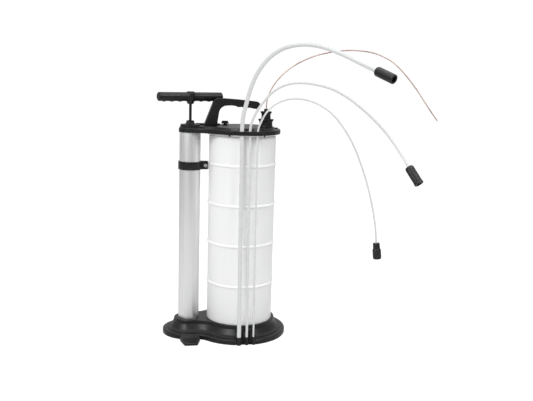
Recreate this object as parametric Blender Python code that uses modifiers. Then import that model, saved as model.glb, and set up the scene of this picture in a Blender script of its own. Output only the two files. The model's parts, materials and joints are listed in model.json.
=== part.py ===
"""Manual fluid transfer pump: a hand vacuum pump beside a translucent tank, on one moulded foot.

Metres, +Z up, front towards -Y. The pump stands on the -X side of the tank. The origin is on the
floor, in the middle of the pump's own footprint box, which leaves the free hoses out.
"""
import math

import bmesh
import bpy
from mathutils import Vector

COLLECTION = "fluid_transfer_pump"
GAP = 0.0003                      # drawn clearance between touching pieces
FINE = 32                         # steps round the tank and the lid
BARREL_STEPS = 24                 # steps round the barrel and what is in it
ROUND = 16                        # steps round middle-sized turned pieces
SMALL = 10                        # steps round screws, seals and valves

# Main axes
AXIS_GAP = 0.126                  # tank axis to pump axis
BASE_TANK_R = 0.1145              # base outline round the tank
BASE_PUMP_R = 0.0625              # base outline round the pump
BASE_WAIST_R = 0.040              # concave blend between the two
BAR_HALF = 0.083                  # T-handle, axis to end
BAR_R = 0.0105
BAR_END_R = 0.0080                # flat end of the bar inside its rounded edge
BAR_TURN = math.radians(22)       # how far the T-handle is turned at rest
GROOVE_R = 0.0320                 # wide shallow finger grooves under the bar
GROOVE_START = 0.0170             # middle of the first groove, from the pump axis
GROOVE_PITCH = 0.0210
FINGER_PROUD = 0.0018             # how far the keel under the bar stands out
KEEL_HALF = 0.0710
HOLDER_FRONT = 0.1176             # tank axis to the front of the hose holder
BAR_REACH = BAR_HALF * math.cos(BAR_TURN) + BAR_END_R * math.sin(BAR_TURN)
TANK_X = (AXIS_GAP + BAR_REACH - BASE_TANK_R) / 2
TANK_Y = (HOLDER_FRONT - BASE_TANK_R) / 2

# Base
BASE_TOP = 0.038
BASE_WALL = 0.0035
BASE_FLOOR = 0.010                # top of the floor under the tank and the barrel
BASE_PROFILE = [                  # (inset from the outline, height), from the rim to the collar
    (0.0000, 0.0000), (0.0000, 0.0085), (0.0018, 0.0112), (0.0090, 0.0128), (0.0112, 0.0150),
    (0.0170, 0.0170), (0.0222, 0.0220), (0.0258, 0.0290), (0.0282, 0.0365), (0.0300, 0.0380),
]
BASE_HOLLOW = [(0.0038, -0.001), (0.0040, 0.0070), (0.0212, 0.0130), (0.0303, 0.0330)]
HOLDER_SIDES = (-0.0209, 0.0243)  # hose holder, from the tank axis
HOLDER_FINS = (-0.0041, 0.0126, 0.0236)
FIN_THICKNESS = 0.0014
HOLDER_BACK = -0.0985             # where the holder's notch in the base ends
RIBS_ACROSS = (-0.030, 0.030)      # ribs under the base, from the tank axis
RIB_THICKNESS = 0.0025

# Tank
TANK_R = 0.080
TANK_WALL = 0.0022
TANK_BOTTOM = BASE_FLOOR + GAP
TANK_TOP = 0.4995
TANK_RIM_R = 0.0856
TANK_RIB_HEIGHTS = (0.421, 0.326, 0.230, 0.131)
TANK_RIB_PROUD = 0.0024

# Lid
LID_BOTTOM = 0.494
LID_RIM_TOP = 0.5045
LID_TOP = 0.5095
LID_DISC_TOP = 0.5125             # raised disc on the pump end
LID_TANK_R = 0.0904
LID_PUMP_R = 0.0270
LID_WAIST_R = 0.120
LID_UNDERSIDE = 0.5065            # ceiling of the lid over the tank and the barrel
LID_CHANNEL_TOP = 0.5022          # ceiling of the channel that takes the tank's rim
LID_SCREW_R = 0.0820
LID_SCREW_COUNT = 6
LID_HOLE_R = 0.0025               # for the lid screws
HANDLE_SCREW_HOLE = 3             # the rim hole towards the pump, used by the carry handle's screw

# Pump
BARREL_R = 0.025
BARREL_BORE_R = 0.0232
BARREL_BOTTOM = BASE_FLOOR + GAP
BARREL_TOP = 0.5040
ROD_R = 0.00325
ROD_CLEARANCE = 0.0004
BAR_Z = 0.577                     # axis of the T-handle's bar
CLAMP_Z = 0.415
CLAMP_HEIGHT = 0.0195
CLAMP_BOLT_X = -0.0890            # from the tank axis

# Places on the lid, from the tank axis
PORT = (0.0505, -0.030)
VENT = (-0.039, 0.037)

# Hoses: diameter, place of the cup from the tank axis, and outer radius of the cup
HOSES = {
    "large": {"diameter": 0.0096, "foot_x": -0.0142, "cup_r": 0.0066},
    "medium": {"diameter": 0.0058, "foot_x": 0.0042, "cup_r": 0.0048},
    "small": {"diameter": 0.0042, "foot_x": 0.0202, "cup_r": 0.0040},
}
HOSE_LID_Y = -0.0905
HOSE_FOOT_Y = -0.1110
HOSE_FOOT_Z = 0.0060
HOSE_SAMPLES = {"large": 40, "medium": 54, "small": 68, "thin": 60}
THIN_DIAMETER = 0.0030

# Routes by hand, from the tank axis and the floor. The first points are in the holder, then up the
# front of the tank, through the lid, and over in a free arc to the connector.
ROUTES = {
    "large": [
        (-0.0142, -0.1110, 0.0060), (-0.0142, -0.1108, 0.0400), (-0.0141, -0.1070, 0.1000),
        (-0.0140, -0.1000, 0.2100), (-0.0140, -0.0950, 0.3300), (-0.0140, -0.0922, 0.4200),
        (-0.0146, -0.0908, 0.4700), (-0.0148, -0.0905, 0.5050), (-0.0132, -0.0914, 0.5340),
        (-0.0075, -0.0945, 0.5640), (0.0030, -0.1005, 0.6060), (0.0170, -0.1085, 0.6400),
        (0.0380, -0.1205, 0.6700), (0.0640, -0.1355, 0.6900), (0.0920, -0.1520, 0.6990),
        (0.1220, -0.1690, 0.7000), (0.1528, -0.1880, 0.6930), (0.1838, -0.2103, 0.6799),
        (0.2120, -0.2374, 0.6638), (0.2374, -0.2748, 0.6479),
    ],
    "medium": [
        (0.0042, -0.1110, 0.0060), (0.0042, -0.1108, 0.0400), (0.0042, -0.1070, 0.1000),
        (0.0042, -0.1000, 0.2100), (0.0048, -0.0950, 0.3300), (0.0052, -0.0922, 0.4200),
        (0.0050, -0.0908, 0.4700), (0.0040, -0.0905, 0.5050), (0.0074, -0.0911, 0.5250),
        (0.0172, -0.0946, 0.5490), (0.0310, -0.1000, 0.5710), (0.0482, -0.1070, 0.5925),
        (0.0690, -0.1158, 0.6080), (0.0900, -0.1247, 0.6155), (0.1130, -0.1340, 0.6175),
        (0.1430, -0.1460, 0.6145), (0.1770, -0.1600, 0.6050), (0.2090, -0.1728, 0.5875),
        (0.2370, -0.1842, 0.5660), (0.2637, -0.1959, 0.5416), (0.2887, -0.2093, 0.5133),
        (0.3084, -0.2258, 0.4837), (0.3275, -0.2539, 0.4454),
    ],
    "small": [
        (0.0202, -0.1110, 0.0060), (0.0202, -0.1108, 0.0400), (0.0204, -0.1070, 0.1000),
        (0.0208, -0.1000, 0.2100), (0.0212, -0.0950, 0.3300), (0.0216, -0.0922, 0.4200),
        (0.0222, -0.0908, 0.4700), (0.0222, -0.0905, 0.5050), (0.0285, -0.0916, 0.5255),
        (0.0400, -0.0936, 0.5475), (0.0580, -0.0968, 0.5660), (0.0815, -0.1010, 0.5775),
        (0.1070, -0.1054, 0.5812), (0.1335, -0.1100, 0.5780), (0.1620, -0.1151, 0.5670),
        (0.1900, -0.1200, 0.5470), (0.2160, -0.1246, 0.5160), (0.2390, -0.1287, 0.4780),
        (0.2580, -0.1320, 0.4345), (0.2745, -0.1350, 0.3880), (0.2885, -0.1375, 0.3370),
        (0.2975, -0.1390, 0.2920), (0.3020, -0.1398, 0.2510),
    ],
    "thin": [
        (0.0505, -0.0300, 0.5540), (0.0525, -0.0304, 0.5760), (0.0585, -0.0315, 0.5940),
        (0.0725, -0.0340, 0.6180), (0.0960, -0.0381, 0.6430), (0.1245, -0.0431, 0.6630),
        (0.1580, -0.0490, 0.6785), (0.1910, -0.0548, 0.6877), (0.2200, -0.0600, 0.6926),
        (0.2540, -0.0660, 0.6940), (0.2880, -0.0720, 0.6905), (0.3170, -0.0771, 0.6812),
        (0.3420, -0.0815, 0.6670), (0.3680, -0.0861, 0.6425), (0.3940, -0.0907, 0.6120),
        (0.4150, -0.0944, 0.5830), (0.4360, -0.0981, 0.5540), (0.4500, -0.1005, 0.5360),
    ],
}

MATERIALS = {                     # colour, roughness, metallic
    "black_plastic": ((0.022, 0.022, 0.024), 0.42, 0.0),
    "tank_plastic": ((0.86, 0.87, 0.86), 0.38, 0.0),
    "aluminium": ((0.74, 0.75, 0.76), 0.30, 1.0),
    "steel": ((0.55, 0.55, 0.56), 0.28, 1.0),
    "rubber": ((0.018, 0.018, 0.018), 0.62, 0.0),
    "seal_rubber": ((0.03, 0.03, 0.032), 0.70, 0.0),
    "acetal": ((0.80, 0.79, 0.74), 0.40, 0.0),
    "hose_plastic": ((0.88, 0.89, 0.89), 0.30, 0.0),
    "copper_tube": ((0.56, 0.34, 0.28), 0.35, 0.4),
}


# ---------------------------------------------------------------- scene helpers

def clear_scene():
    for obj in list(bpy.data.objects):
        bpy.data.objects.remove(obj, do_unlink=True)


def new_collection(name):
    collection = bpy.data.collections.new(name)
    bpy.context.scene.collection.children.link(collection)
    return collection


def make_materials():
    made = {}
    for name, (colour, roughness, metallic) in MATERIALS.items():
        material = bpy.data.materials.new(name)
        material.use_nodes = True
        shader = material.node_tree.nodes["Principled BSDF"]
        shader.inputs["Base Color"].default_value = (*colour, 1.0)
        shader.inputs["Roughness"].default_value = roughness
        shader.inputs["Metallic"].default_value = metallic
        made[name] = material
    return made


def new_empty(name, location):
    empty = bpy.data.objects.new(name, None)
    empty.location = location
    parts.objects.link(empty)
    return empty


def add_object(name, data, material=None, parent=None, location=(0, 0, 0), rotation=(0, 0, 0)):
    """Link a mesh or curve as a part. With no material it is a cutter, hidden from the build."""
    obj = bpy.data.objects.new(name, data)
    obj.location = location
    obj.rotation_euler = rotation
    obj.parent = parent
    if material is None:
        cutters.objects.link(obj)
        obj.hide_render = True
        obj.display_type = "WIRE"
    else:
        parts.objects.link(obj)
        obj.data.materials.append(materials[material])
    return obj


def smooth(mesh, angle=35):
    mesh.shade_smooth()
    mesh.set_sharp_from_angle(angle=math.radians(angle))


def boolean(obj, other, operation="DIFFERENCE"):
    modifier = obj.modifiers.new(operation.lower(), "BOOLEAN")
    modifier.operation = operation
    modifier.object = other
    modifier.solver = "EXACT"


def bevel(obj, width, segments=2, angle=35):
    modifier = obj.modifiers.new("bevel", "BEVEL")
    modifier.width = width
    modifier.segments = segments
    modifier.limit_method = "ANGLE"
    modifier.angle_limit = math.radians(angle)


# ---------------------------------------------------------------- shape helpers

def arc(centre, radius, start, end, steps):
    """Points of an arc, both ends included; angles in degrees."""
    points = []
    for i in range(steps + 1):
        angle = math.radians(start + (end - start) * i / steps)
        points.append((centre[0] + radius * math.cos(angle), centre[1] + radius * math.sin(angle)))
    return points


def turned(name, profile, material=None, steps=ROUND, closed=False, **place):
    """A profile of (radius, height) points, turned about Z. It runs down its outer side."""
    mesh = bpy.data.meshes.new(name)
    edges = [(i, i + 1) for i in range(len(profile) - 1)]
    if closed:
        edges.append((len(profile) - 1, 0))
    mesh.from_pydata([(r, 0, z) for r, z in profile], edges, [])
    obj = add_object(name, mesh, material, **place)
    modifier = obj.modifiers.new("turn", "SCREW")
    modifier.steps = steps
    modifier.render_steps = steps
    modifier.use_merge_vertices = True
    modifier.merge_threshold = 0.00001
    modifier.use_smooth_shade = True
    return obj


def tube(name, outer, inner, top, bottom, material=None, steps=ROUND, **place):
    profile = [(outer, top), (outer, bottom), (inner, bottom), (inner, top)]
    return turned(name, profile, material, steps, closed=True, **place)


def rod(name, radius, top, bottom, material=None, steps=ROUND, **place):
    return turned(name, [(0, top), (radius, top), (radius, bottom), (0, bottom)], material, steps, **place)


def box(name, size, centre, material=None, **place):
    mesh = bpy.data.meshes.new(name)
    work = bmesh.new()
    bmesh.ops.create_cube(work, size=1.0)
    bmesh.ops.scale(work, vec=size, verts=work.verts)
    bmesh.ops.translate(work, vec=centre, verts=work.verts)
    work.to_mesh(mesh)
    work.free()
    return add_object(name, mesh, material, **place)


def prism(name, radius, sides, top, bottom, material=None, **place):
    """A closed prism or cylinder along Z, such as a nut or a drilled hole's cutter."""
    mesh = bpy.data.meshes.new(name)
    work = bmesh.new()
    bmesh.ops.create_cone(work, cap_ends=True, segments=sides, radius1=radius, radius2=radius,
                          depth=top - bottom)
    bmesh.ops.translate(work, vec=(0, 0, (top + bottom) / 2), verts=work.verts)
    work.to_mesh(mesh)
    work.free()
    return add_object(name, mesh, material, **place)


def plate(name, outline, thickness, material=None, **place):
    """A flat outline in local XY, as thick as stated, centred on its plane."""
    curve = bpy.data.curves.new(name, "CURVE")
    curve.dimensions = "2D"
    curve.fill_mode = "BOTH"
    curve.extrude = thickness / 2
    spline = curve.splines.new("POLY")
    spline.points.add(len(outline) - 1)
    for point, (x, y) in zip(spline.points, outline):
        point.co = (x, y, 0, 1)
    spline.use_cyclic_u = True
    return curve_to_mesh(name, curve, material, **place)


def curve_to_mesh(name, curve, material, **place):
    source = bpy.data.objects.new(name + "_curve", curve)
    cutters.objects.link(source)
    bpy.context.view_layer.update()
    mesh = bpy.data.meshes.new_from_object(source.evaluated_get(bpy.context.evaluated_depsgraph_get()))
    work = bmesh.new()
    work.from_mesh(mesh)
    bmesh.ops.remove_doubles(work, verts=work.verts, dist=0.00001)
    bmesh.ops.recalc_face_normals(work, faces=work.faces)
    work.to_mesh(mesh)
    work.free()
    bpy.data.objects.remove(source, do_unlink=True)
    mesh.name = name
    return add_object(name, mesh, material, **place)


def lobed_outline(tank_r, pump_r, waist_r, tank_steps=30, pump_steps=12, waist_steps=4):
    """Outline round both axes, counter-clockwise, with a concave arc on each side between them."""
    to_tank = tank_r + waist_r
    to_pump = pump_r + waist_r
    waist_x = (to_pump ** 2 - to_tank ** 2 - AXIS_GAP ** 2) / (2 * AXIS_GAP)
    waist_y = math.sqrt(to_tank ** 2 - waist_x ** 2)
    beta = math.degrees(math.atan2(waist_y, waist_x))
    gamma = math.degrees(math.atan2(waist_y, waist_x + AXIS_GAP))
    outline = arc((0, 0), tank_r, -beta, beta, tank_steps)
    outline += arc((waist_x, waist_y), waist_r, beta + 180, gamma + 180, waist_steps)[1:-1]
    outline += arc((-AXIS_GAP, 0), pump_r, gamma, 360 - gamma, pump_steps)
    outline += arc((waist_x, -waist_y), waist_r, 180 - gamma, 180 - beta, waist_steps)[1:-1]
    return outline


def loft(name, rings, material=None, **place):
    """A closed skin through rings of equal count, given from the bottom ring to the top ring."""
    count = len(rings[0])
    vertices = [vertex for ring in rings for vertex in ring]
    faces = [list(reversed(range(count))), list(range(len(vertices) - count, len(vertices)))]
    for level in range(len(rings) - 1):
        low = level * count
        for i in range(count):
            j = (i + 1) % count
            faces.append((low + i, low + j, low + count + j, low + count + i))
    mesh = bpy.data.meshes.new(name)
    mesh.from_pydata(vertices, [], faces)
    obj = add_object(name, mesh, material, **place)
    smooth(mesh)
    return obj


def circle(radius, height, steps=24):
    return [(x, y, height) for x, y in arc((0, 0), radius, 0, 360 - 360 / steps, steps - 1)]


def base_rings(profile, grow=0.0):
    rings = []
    for inset, height in profile:
        step = inset - grow
        outline = lobed_outline(BASE_TANK_R - step, BASE_PUMP_R - step, BASE_WAIST_R + step)
        rings.append([(x, y, height) for x, y in outline])
    return rings


def smooth_path(points, samples):
    """Evenly spaced points on a smooth curve through the route's points."""
    route = [Vector(p) for p in points]
    ends = [2 * route[0] - route[1]] + route + [2 * route[-1] - route[-2]]
    dense = []
    substeps = 24
    for a, b, c, d in zip(ends, ends[1:], ends[2:], ends[3:]):
        for i in range(substeps):
            t = i / substeps
            dense.append(0.5 * ((2 * b) + (c - a) * t + (2 * a - 5 * b + 4 * c - d) * t ** 2
                                + (3 * b - a - 3 * c + d) * t ** 3))
    dense.append(route[-1])
    travelled = [0.0]
    for p, q in zip(dense, dense[1:]):
        travelled.append(travelled[-1] + (q - p).length)
    even = []
    index = 0
    for i in range(samples):
        target = travelled[-1] * i / (samples - 1)
        while index < len(dense) - 2 and travelled[index + 1] < target:
            index += 1
        share = (target - travelled[index]) / (travelled[index + 1] - travelled[index])
        even.append(dense[index].lerp(dense[index + 1], share))
    return even


def hose(name, route, diameter, samples, material):
    curve = bpy.data.curves.new(name, "CURVE")
    curve.dimensions = "3D"
    curve.bevel_depth = diameter / 2
    curve.bevel_resolution = 2
    curve.use_fill_caps = True
    spline = curve.splines.new("POLY")
    path = smooth_path(route, samples)
    spline.points.add(len(path) - 1)
    for point, place in zip(spline.points, path):
        point.co = (*place, 1)
    return add_object(name, curve, material, parent=tank_axis)


def aim(direction):
    """Rotation that turns local +Z along the direction."""
    return Vector(direction).to_track_quat("Z", "Y").to_euler()


# ---------------------------------------------------------------- base

def make_base():
    base = loft("base", base_rings(BASE_PROFILE), "black_plastic", parent=tank_axis)
    hollow = loft("base_hollow", base_rings(BASE_HOLLOW), parent=tank_axis)
    floor = BASE_FLOOR - BASE_WALL
    for name, axis, radius in (("tank", tank_axis, TANK_R), ("barrel", pump_axis, BARREL_R)):
        wall = prism(f"{name}_cup", radius + GAP + 0.003, FINE, BASE_TOP + 0.01, floor, parent=axis)
        boolean(hollow, wall)
        seat = prism(f"{name}_seat", radius + GAP, FINE, BASE_TOP + 0.01, BASE_FLOOR, parent=axis)
        boolean(base, seat)
    for x in RIBS_ACROSS:
        boolean(hollow, box(f"rib_{x}", (RIB_THICKNESS, 0.3, 0.08), (x, 0, 0), parent=tank_axis))
    boolean(hollow, box("rib_along", (0.5, RIB_THICKNESS, 0.08), (0, 0, 0), parent=tank_axis))
    boolean(hollow, prism("foot_screw_boss", 0.009, SMALL, 0.08, -0.02, parent=pump_axis))
    boolean(hollow, holder_notch("notch_wall", 0.0030))
    boolean(base, hollow)
    boolean(base, holder_notch("notch", GAP))
    boolean(base, make_pedal(), "UNION")
    head_recess = prism("foot_screw_recess", 0.0056, SMALL, 0.0050, -0.01, parent=pump_axis)
    boolean(base, head_recess)
    screw_hole = prism("foot_screw_hole", 0.0024, SMALL, 0.02, 0.0, parent=pump_axis)
    boolean(base, screw_hole)


def make_pedal():
    """A tread in front of the pump: a flat tongue that slopes down to the floor."""
    stations = ((-0.0570, 0.0245, 0.0115), (-0.0760, 0.0225, 0.0095), (-0.1020, 0.0155, 0.0045),
                (-0.1040, 0.0145, 0.0030))
    rings = []
    for y, half, top in stations:
        rings.append([(-half, y, 0.0), (half, y, 0.0), (half, y, top), (-half, y, top)])
    return loft("pedal_tread", rings, parent=pump_axis)


def holder_notch(name, margin):
    """The block of space that the hose holder takes from the front of the base."""
    left, right = HOLDER_SIDES
    back, front = HOLDER_BACK + margin, -0.2
    size = (right - left + 2 * margin, back - front, 0.2)
    return box(name, size, ((left + right) / 2, (back + front) / 2, 0), parent=tank_axis)


def make_hose_holder():
    """Clip-in holder at the front of the base: three blind cups, and thin fins between the hoses."""
    body_side = [(-0.080, 0.0), (-0.1085, 0.0), (-0.1085, 0.0120), (-0.1010, 0.0190), (-0.0950, 0.0250),
                 (-0.0925, 0.0330), (-0.080, 0.0330)]
    fin_side = [(-0.085, 0.0), (-0.1125, 0.0), (-0.1125, 0.0190), (-0.1085, 0.0330), (-0.085, 0.0330)]
    holder = side_prism("hose_holder", body_side, *HOLDER_SIDES, "black_plastic")
    for i, x in enumerate(HOLDER_FINS):
        boolean(holder, side_prism(f"fin_{i}", fin_side, x - FIN_THICKNESS / 2, x + FIN_THICKNESS / 2), "UNION")
    for size, hose_data in HOSES.items():
        place = (hose_data["foot_x"], HOSE_FOOT_Y, 0)
        cup = prism(f"{size}_cup", hose_data["cup_r"], ROUND, 0.0200, 0.0, location=place, parent=tank_axis)
        boolean(holder, cup, "UNION")
    for size, hose_data in HOSES.items():
        place = (hose_data["foot_x"], HOSE_FOOT_Y, 0)
        bore_r = hose_data["diameter"] / 2 + 0.0005
        bore = prism(f"{size}_bore", bore_r, ROUND, 0.05, HOSE_FOOT_Z - GAP, location=place,
                     parent=tank_axis)
        boolean(holder, bore)
    profile = [(0.0, -0.01)] + BASE_PROFILE[1:] + [(0.0300, 0.05)]
    back = loft("holder_back", base_rings(profile, GAP), parent=tank_axis)
    boolean(back, holder_notch("notch_core", 0.0001))
    boolean(holder, back)


def side_prism(name, side, left, right, material=None):
    """A solid between two x positions from its side view in (y, z)."""
    rings = [[(x, y, z) for y, z in side] for x in (left, right)]
    return loft(name, rings, material, parent=tank_axis)


def make_foot_screw():
    profile = [(0, 0.0200), (0.0021, 0.0190), (0.0021, 0.0048), (0.0050, 0.0047), (0.0050, 0.0022),
               (0, 0.0022)]
    turned("foot_screw", profile, "steel", SMALL, parent=pump_axis)


# ---------------------------------------------------------------- tank

def make_tank():
    neck_r = TANK_R - 0.0024
    outer = [(TANK_RIM_R, TANK_TOP), (TANK_RIM_R, TANK_TOP - 0.003), (neck_r, TANK_TOP - 0.003),
             (neck_r, 0.4895), (TANK_R, 0.4865)]
    for height in TANK_RIB_HEIGHTS:
        outer += [(TANK_R, height + 0.0035), (TANK_R + TANK_RIB_PROUD, height + 0.0015),
                  (TANK_R + TANK_RIB_PROUD, height - 0.0015), (TANK_R, height - 0.0035)]
    outer += [(TANK_R, TANK_BOTTOM + 0.003), (TANK_R - 0.003, TANK_BOTTOM), (0, TANK_BOTTOM)]
    inner_r = TANK_R - TANK_WALL
    inner = [(0, TANK_BOTTOM + TANK_WALL), (inner_r - 0.003, TANK_BOTTOM + TANK_WALL),
             (inner_r, TANK_BOTTOM + TANK_WALL + 0.003), (inner_r, 0.4850),
             (neck_r - TANK_WALL, 0.4880), (neck_r - TANK_WALL, TANK_TOP)]
    tank = turned("tank", outer + inner + [outer[0]], "tank_plastic", FINE, parent=tank_axis)
    lug = box("clamp_lug", (0.0195, 0.0070, 0.0170), (-0.0865, 0, CLAMP_Z), parent=tank_axis)
    boolean(tank, lug, "UNION")
    boolean(tank, prism("lug_hole", 0.0024, SMALL, 0.01, -0.01, parent=tank_axis,
                        location=(CLAMP_BOLT_X, 0, CLAMP_Z), rotation=(math.pi / 2, 0, 0)))
    boolean(tank, rod("tank_inside", inner_r - 0.0001, 0.45, 0.38, steps=FINE, parent=tank_axis))
    for i in range(LID_SCREW_COUNT):
        boolean(tank, prism(f"rim_hole_{i}", LID_HOLE_R, SMALL, 0.52, 0.48, parent=tank_axis,
                            location=lid_screw_place(i)))


def lid_screw_place(index):
    angle = 2 * math.pi * index / LID_SCREW_COUNT
    return (LID_SCREW_R * math.cos(angle), LID_SCREW_R * math.sin(angle), 0)


def make_gasket():
    tube("tank_gasket", 0.0796, 0.0768, LID_CHANNEL_TOP - GAP, TANK_TOP + GAP, "seal_rubber", FINE,
         parent=tank_axis)


# ---------------------------------------------------------------- lid

def make_lid():
    levels = [(0.0012, LID_BOTTOM), (0.0, LID_BOTTOM + 0.0012), (0.0, LID_RIM_TOP - 0.0018),
              (0.0018, LID_RIM_TOP)]
    rings = []
    for inset, height in levels:
        outline = lobed_outline(LID_TANK_R - inset, LID_PUMP_R - inset, LID_WAIST_R + inset)
        rings.append([(x, y, height) for x, y in outline])
    for tank_r, pump_r, height in ((0.0776, 0.0238, LID_RIM_TOP + 0.0004), (0.0764, 0.0228, LID_TOP - 0.001),
                                   (0.0752, 0.0218, LID_TOP)):
        rings.append([(x, y, height) for x, y in lobed_outline(tank_r, pump_r, 0.080)])
    lid = loft("lid", rings, "black_plastic", parent=tank_axis)
    disc = loft("pump_disc", [circle(0.0232, LID_RIM_TOP - 0.002), circle(0.0232, LID_DISC_TOP - 0.0015),
                              circle(0.0215, LID_DISC_TOP)], parent=pump_axis)
    boolean(lid, disc, "UNION")
    housing = box("air_housing", (0.060, 0.012, 0.009), (-0.082, 0.0185, LID_TOP), parent=tank_axis)
    boolean(lid, housing, "UNION")
    corner = 0.006
    left, right, front = -0.0255, 0.0325, -0.0975
    outline = [(right, -0.070), (left, -0.070)]
    outline += arc((left + corner, front + corner), corner, 180, 270, 4)
    outline += arc((right - corner, front + corner), corner, 270, 360, 4)
    guide = plate("hose_guide", outline, LID_RIM_TOP - LID_BOTTOM - 0.001, parent=tank_axis,
                  location=(0, 0, (LID_RIM_TOP + LID_BOTTOM) / 2))
    boolean(lid, guide, "UNION")
    tank_room = turned("lid_room", [(0, LID_UNDERSIDE), (0.0735, LID_UNDERSIDE), (0.0735, LID_CHANNEL_TOP),
                                    (TANK_RIM_R + 0.0004, LID_CHANNEL_TOP), (TANK_RIM_R + 0.0004, 0.48),
                                    (0, 0.48)], steps=FINE, parent=tank_axis)
    boolean(lid, tank_room)
    boolean(lid, prism("barrel_socket", BARREL_R + GAP, FINE, LID_UNDERSIDE, 0.48, parent=pump_axis))
    boolean(lid, box("air_duct", (0.040, 0.008, 0.0032), (-0.090, 0.013, 0.5046), parent=tank_axis))
    boolean(lid, prism("gland_hole", 0.0085, ROUND, 0.53, 0.48, parent=pump_axis))
    boolean(lid, prism("port_hole", 0.0085, ROUND, 0.53, 0.48, parent=tank_axis, location=(*PORT, 0)))
    boolean(lid, prism("vent_hole", 0.0048, SMALL, 0.53, 0.48, parent=tank_axis, location=(*VENT, 0)))
    for i in range(LID_SCREW_COUNT):
        boolean(lid, prism(f"lid_hole_{i}", LID_HOLE_R, SMALL, 0.53, 0.48, parent=tank_axis,
                           location=lid_screw_place(i)))
    boolean(lid, prism("handle_screw_hole", 0.0022, SMALL, 0.53, 0.48, parent=tank_axis,
                       location=(HANDLE_SCREWS[1], 0, 0)))
    for size, data in HOSES.items():
        boolean(lid, prism(f"{size}_guide_hole", data["diameter"] / 2 + 0.0006, ROUND, 0.53, 0.48,
                           parent=tank_axis, location=(ROUTES[size][7][0], HOSE_LID_Y, 0)))


def make_lid_screws():
    seat = LID_RIM_TOP + GAP + 0.0002
    profile = [(0, seat + 0.0026), (0.0022, seat + 0.0026), (0.0034, seat + 0.0014), (0.0034, seat),
               (0.0022, seat), (0.0022, 0.4925), (0, 0.4880)]
    free = [i for i in range(LID_SCREW_COUNT) if i != HANDLE_SCREW_HOLE]
    for number, i in enumerate(free, start=1):
        turned(f"lid_screw_{number}", profile, "black_plastic", SMALL, parent=tank_axis,
               location=lid_screw_place(i))


# ---------------------------------------------------------------- carry handle

HANDLE_SCREWS = (-LID_SCREW_R, -0.0690)
HANDLE_WIDTH = 0.0235


def make_carry_handle():
    """A cantilever grip on a leaning post, with finger grooves under the grip."""
    foot = LID_TOP + GAP
    outline = [(-0.0630, foot), (-0.0612, 0.5260)]
    outline += arc((-0.0400, 0.5388), 0.0190, 172, 96, 6)
    outline += [(-0.0300, 0.5583), (-0.0220, 0.5574), (-0.0135, 0.5548), (-0.0045, 0.5553), (0.0050, 0.5535),
                (0.0140, 0.5541), (0.0235, 0.5519)]
    outline += arc((0.0305, 0.5600), 0.0090, -75, 82, 6)
    outline += [(-0.0100, 0.5728), (-0.0440, 0.5748)]
    outline += arc((-0.0590, 0.5600), 0.0148, 96, 158, 4)
    outline += [(-0.0930, 0.5150), (-0.0940, foot)]
    handle = plate("carry_handle", outline, HANDLE_WIDTH, "black_plastic", parent=tank_axis,
                   rotation=(math.pi / 2, 0, 0))
    bevel(handle, 0.0035, 2, 50)
    for x in HANDLE_SCREWS:
        boolean(handle, prism(f"handle_pilot_{x}", 0.0021, SMALL, 0.5245, 0.50, parent=tank_axis,
                              location=(x, 0, 0)))


def make_handle_screws():
    """One screw up through the tank's rim and one from inside the lid."""
    rim_seat, lid_seat = TANK_TOP - 0.003 - GAP, LID_UNDERSIDE - GAP
    for name, x, seat, end in (("handle_screw_outer", HANDLE_SCREWS[0], rim_seat, 0.4880),
                               ("handle_screw_inner", HANDLE_SCREWS[1], lid_seat, lid_seat - 0.0030)):
        profile = [(0, 0.5235), (0.0017, 0.5225), (0.0017, seat), (0.0028, seat),
                   (0.0028, (seat + end) / 2), (0, end)]
        turned(name, profile, "steel", SMALL, parent=tank_axis, location=(x, 0, 0))


# ---------------------------------------------------------------- pump

def make_barrel():
    tube("pump_barrel", BARREL_R, BARREL_BORE_R, BARREL_TOP, BARREL_BOTTOM, "aluminium", BARREL_STEPS,
         parent=pump_axis)
    tube("barrel_seal", 0.0249, 0.0229, LID_UNDERSIDE - GAP, BARREL_TOP + GAP, "seal_rubber", BARREL_STEPS,
         parent=pump_axis)
    top, bottom = 0.034, BARREL_BOTTOM
    plug_r = BARREL_BORE_R - GAP
    plug = turned("barrel_plug", [(0, top), (plug_r, top), (plug_r, 0.0260), (0.0205, 0.0260),
                                  (0.0205, 0.0225), (plug_r, 0.0225), (plug_r, bottom), (0, bottom)],
                  "black_plastic", BARREL_STEPS, parent=pump_axis)
    boolean(plug, prism("plug_screw_hole", 0.0024, SMALL, 0.022, 0.0, parent=pump_axis))
    tube("plug_seal", plug_r, 0.0208, 0.0257, 0.0228, "seal_rubber", BARREL_STEPS, parent=pump_axis)


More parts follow.
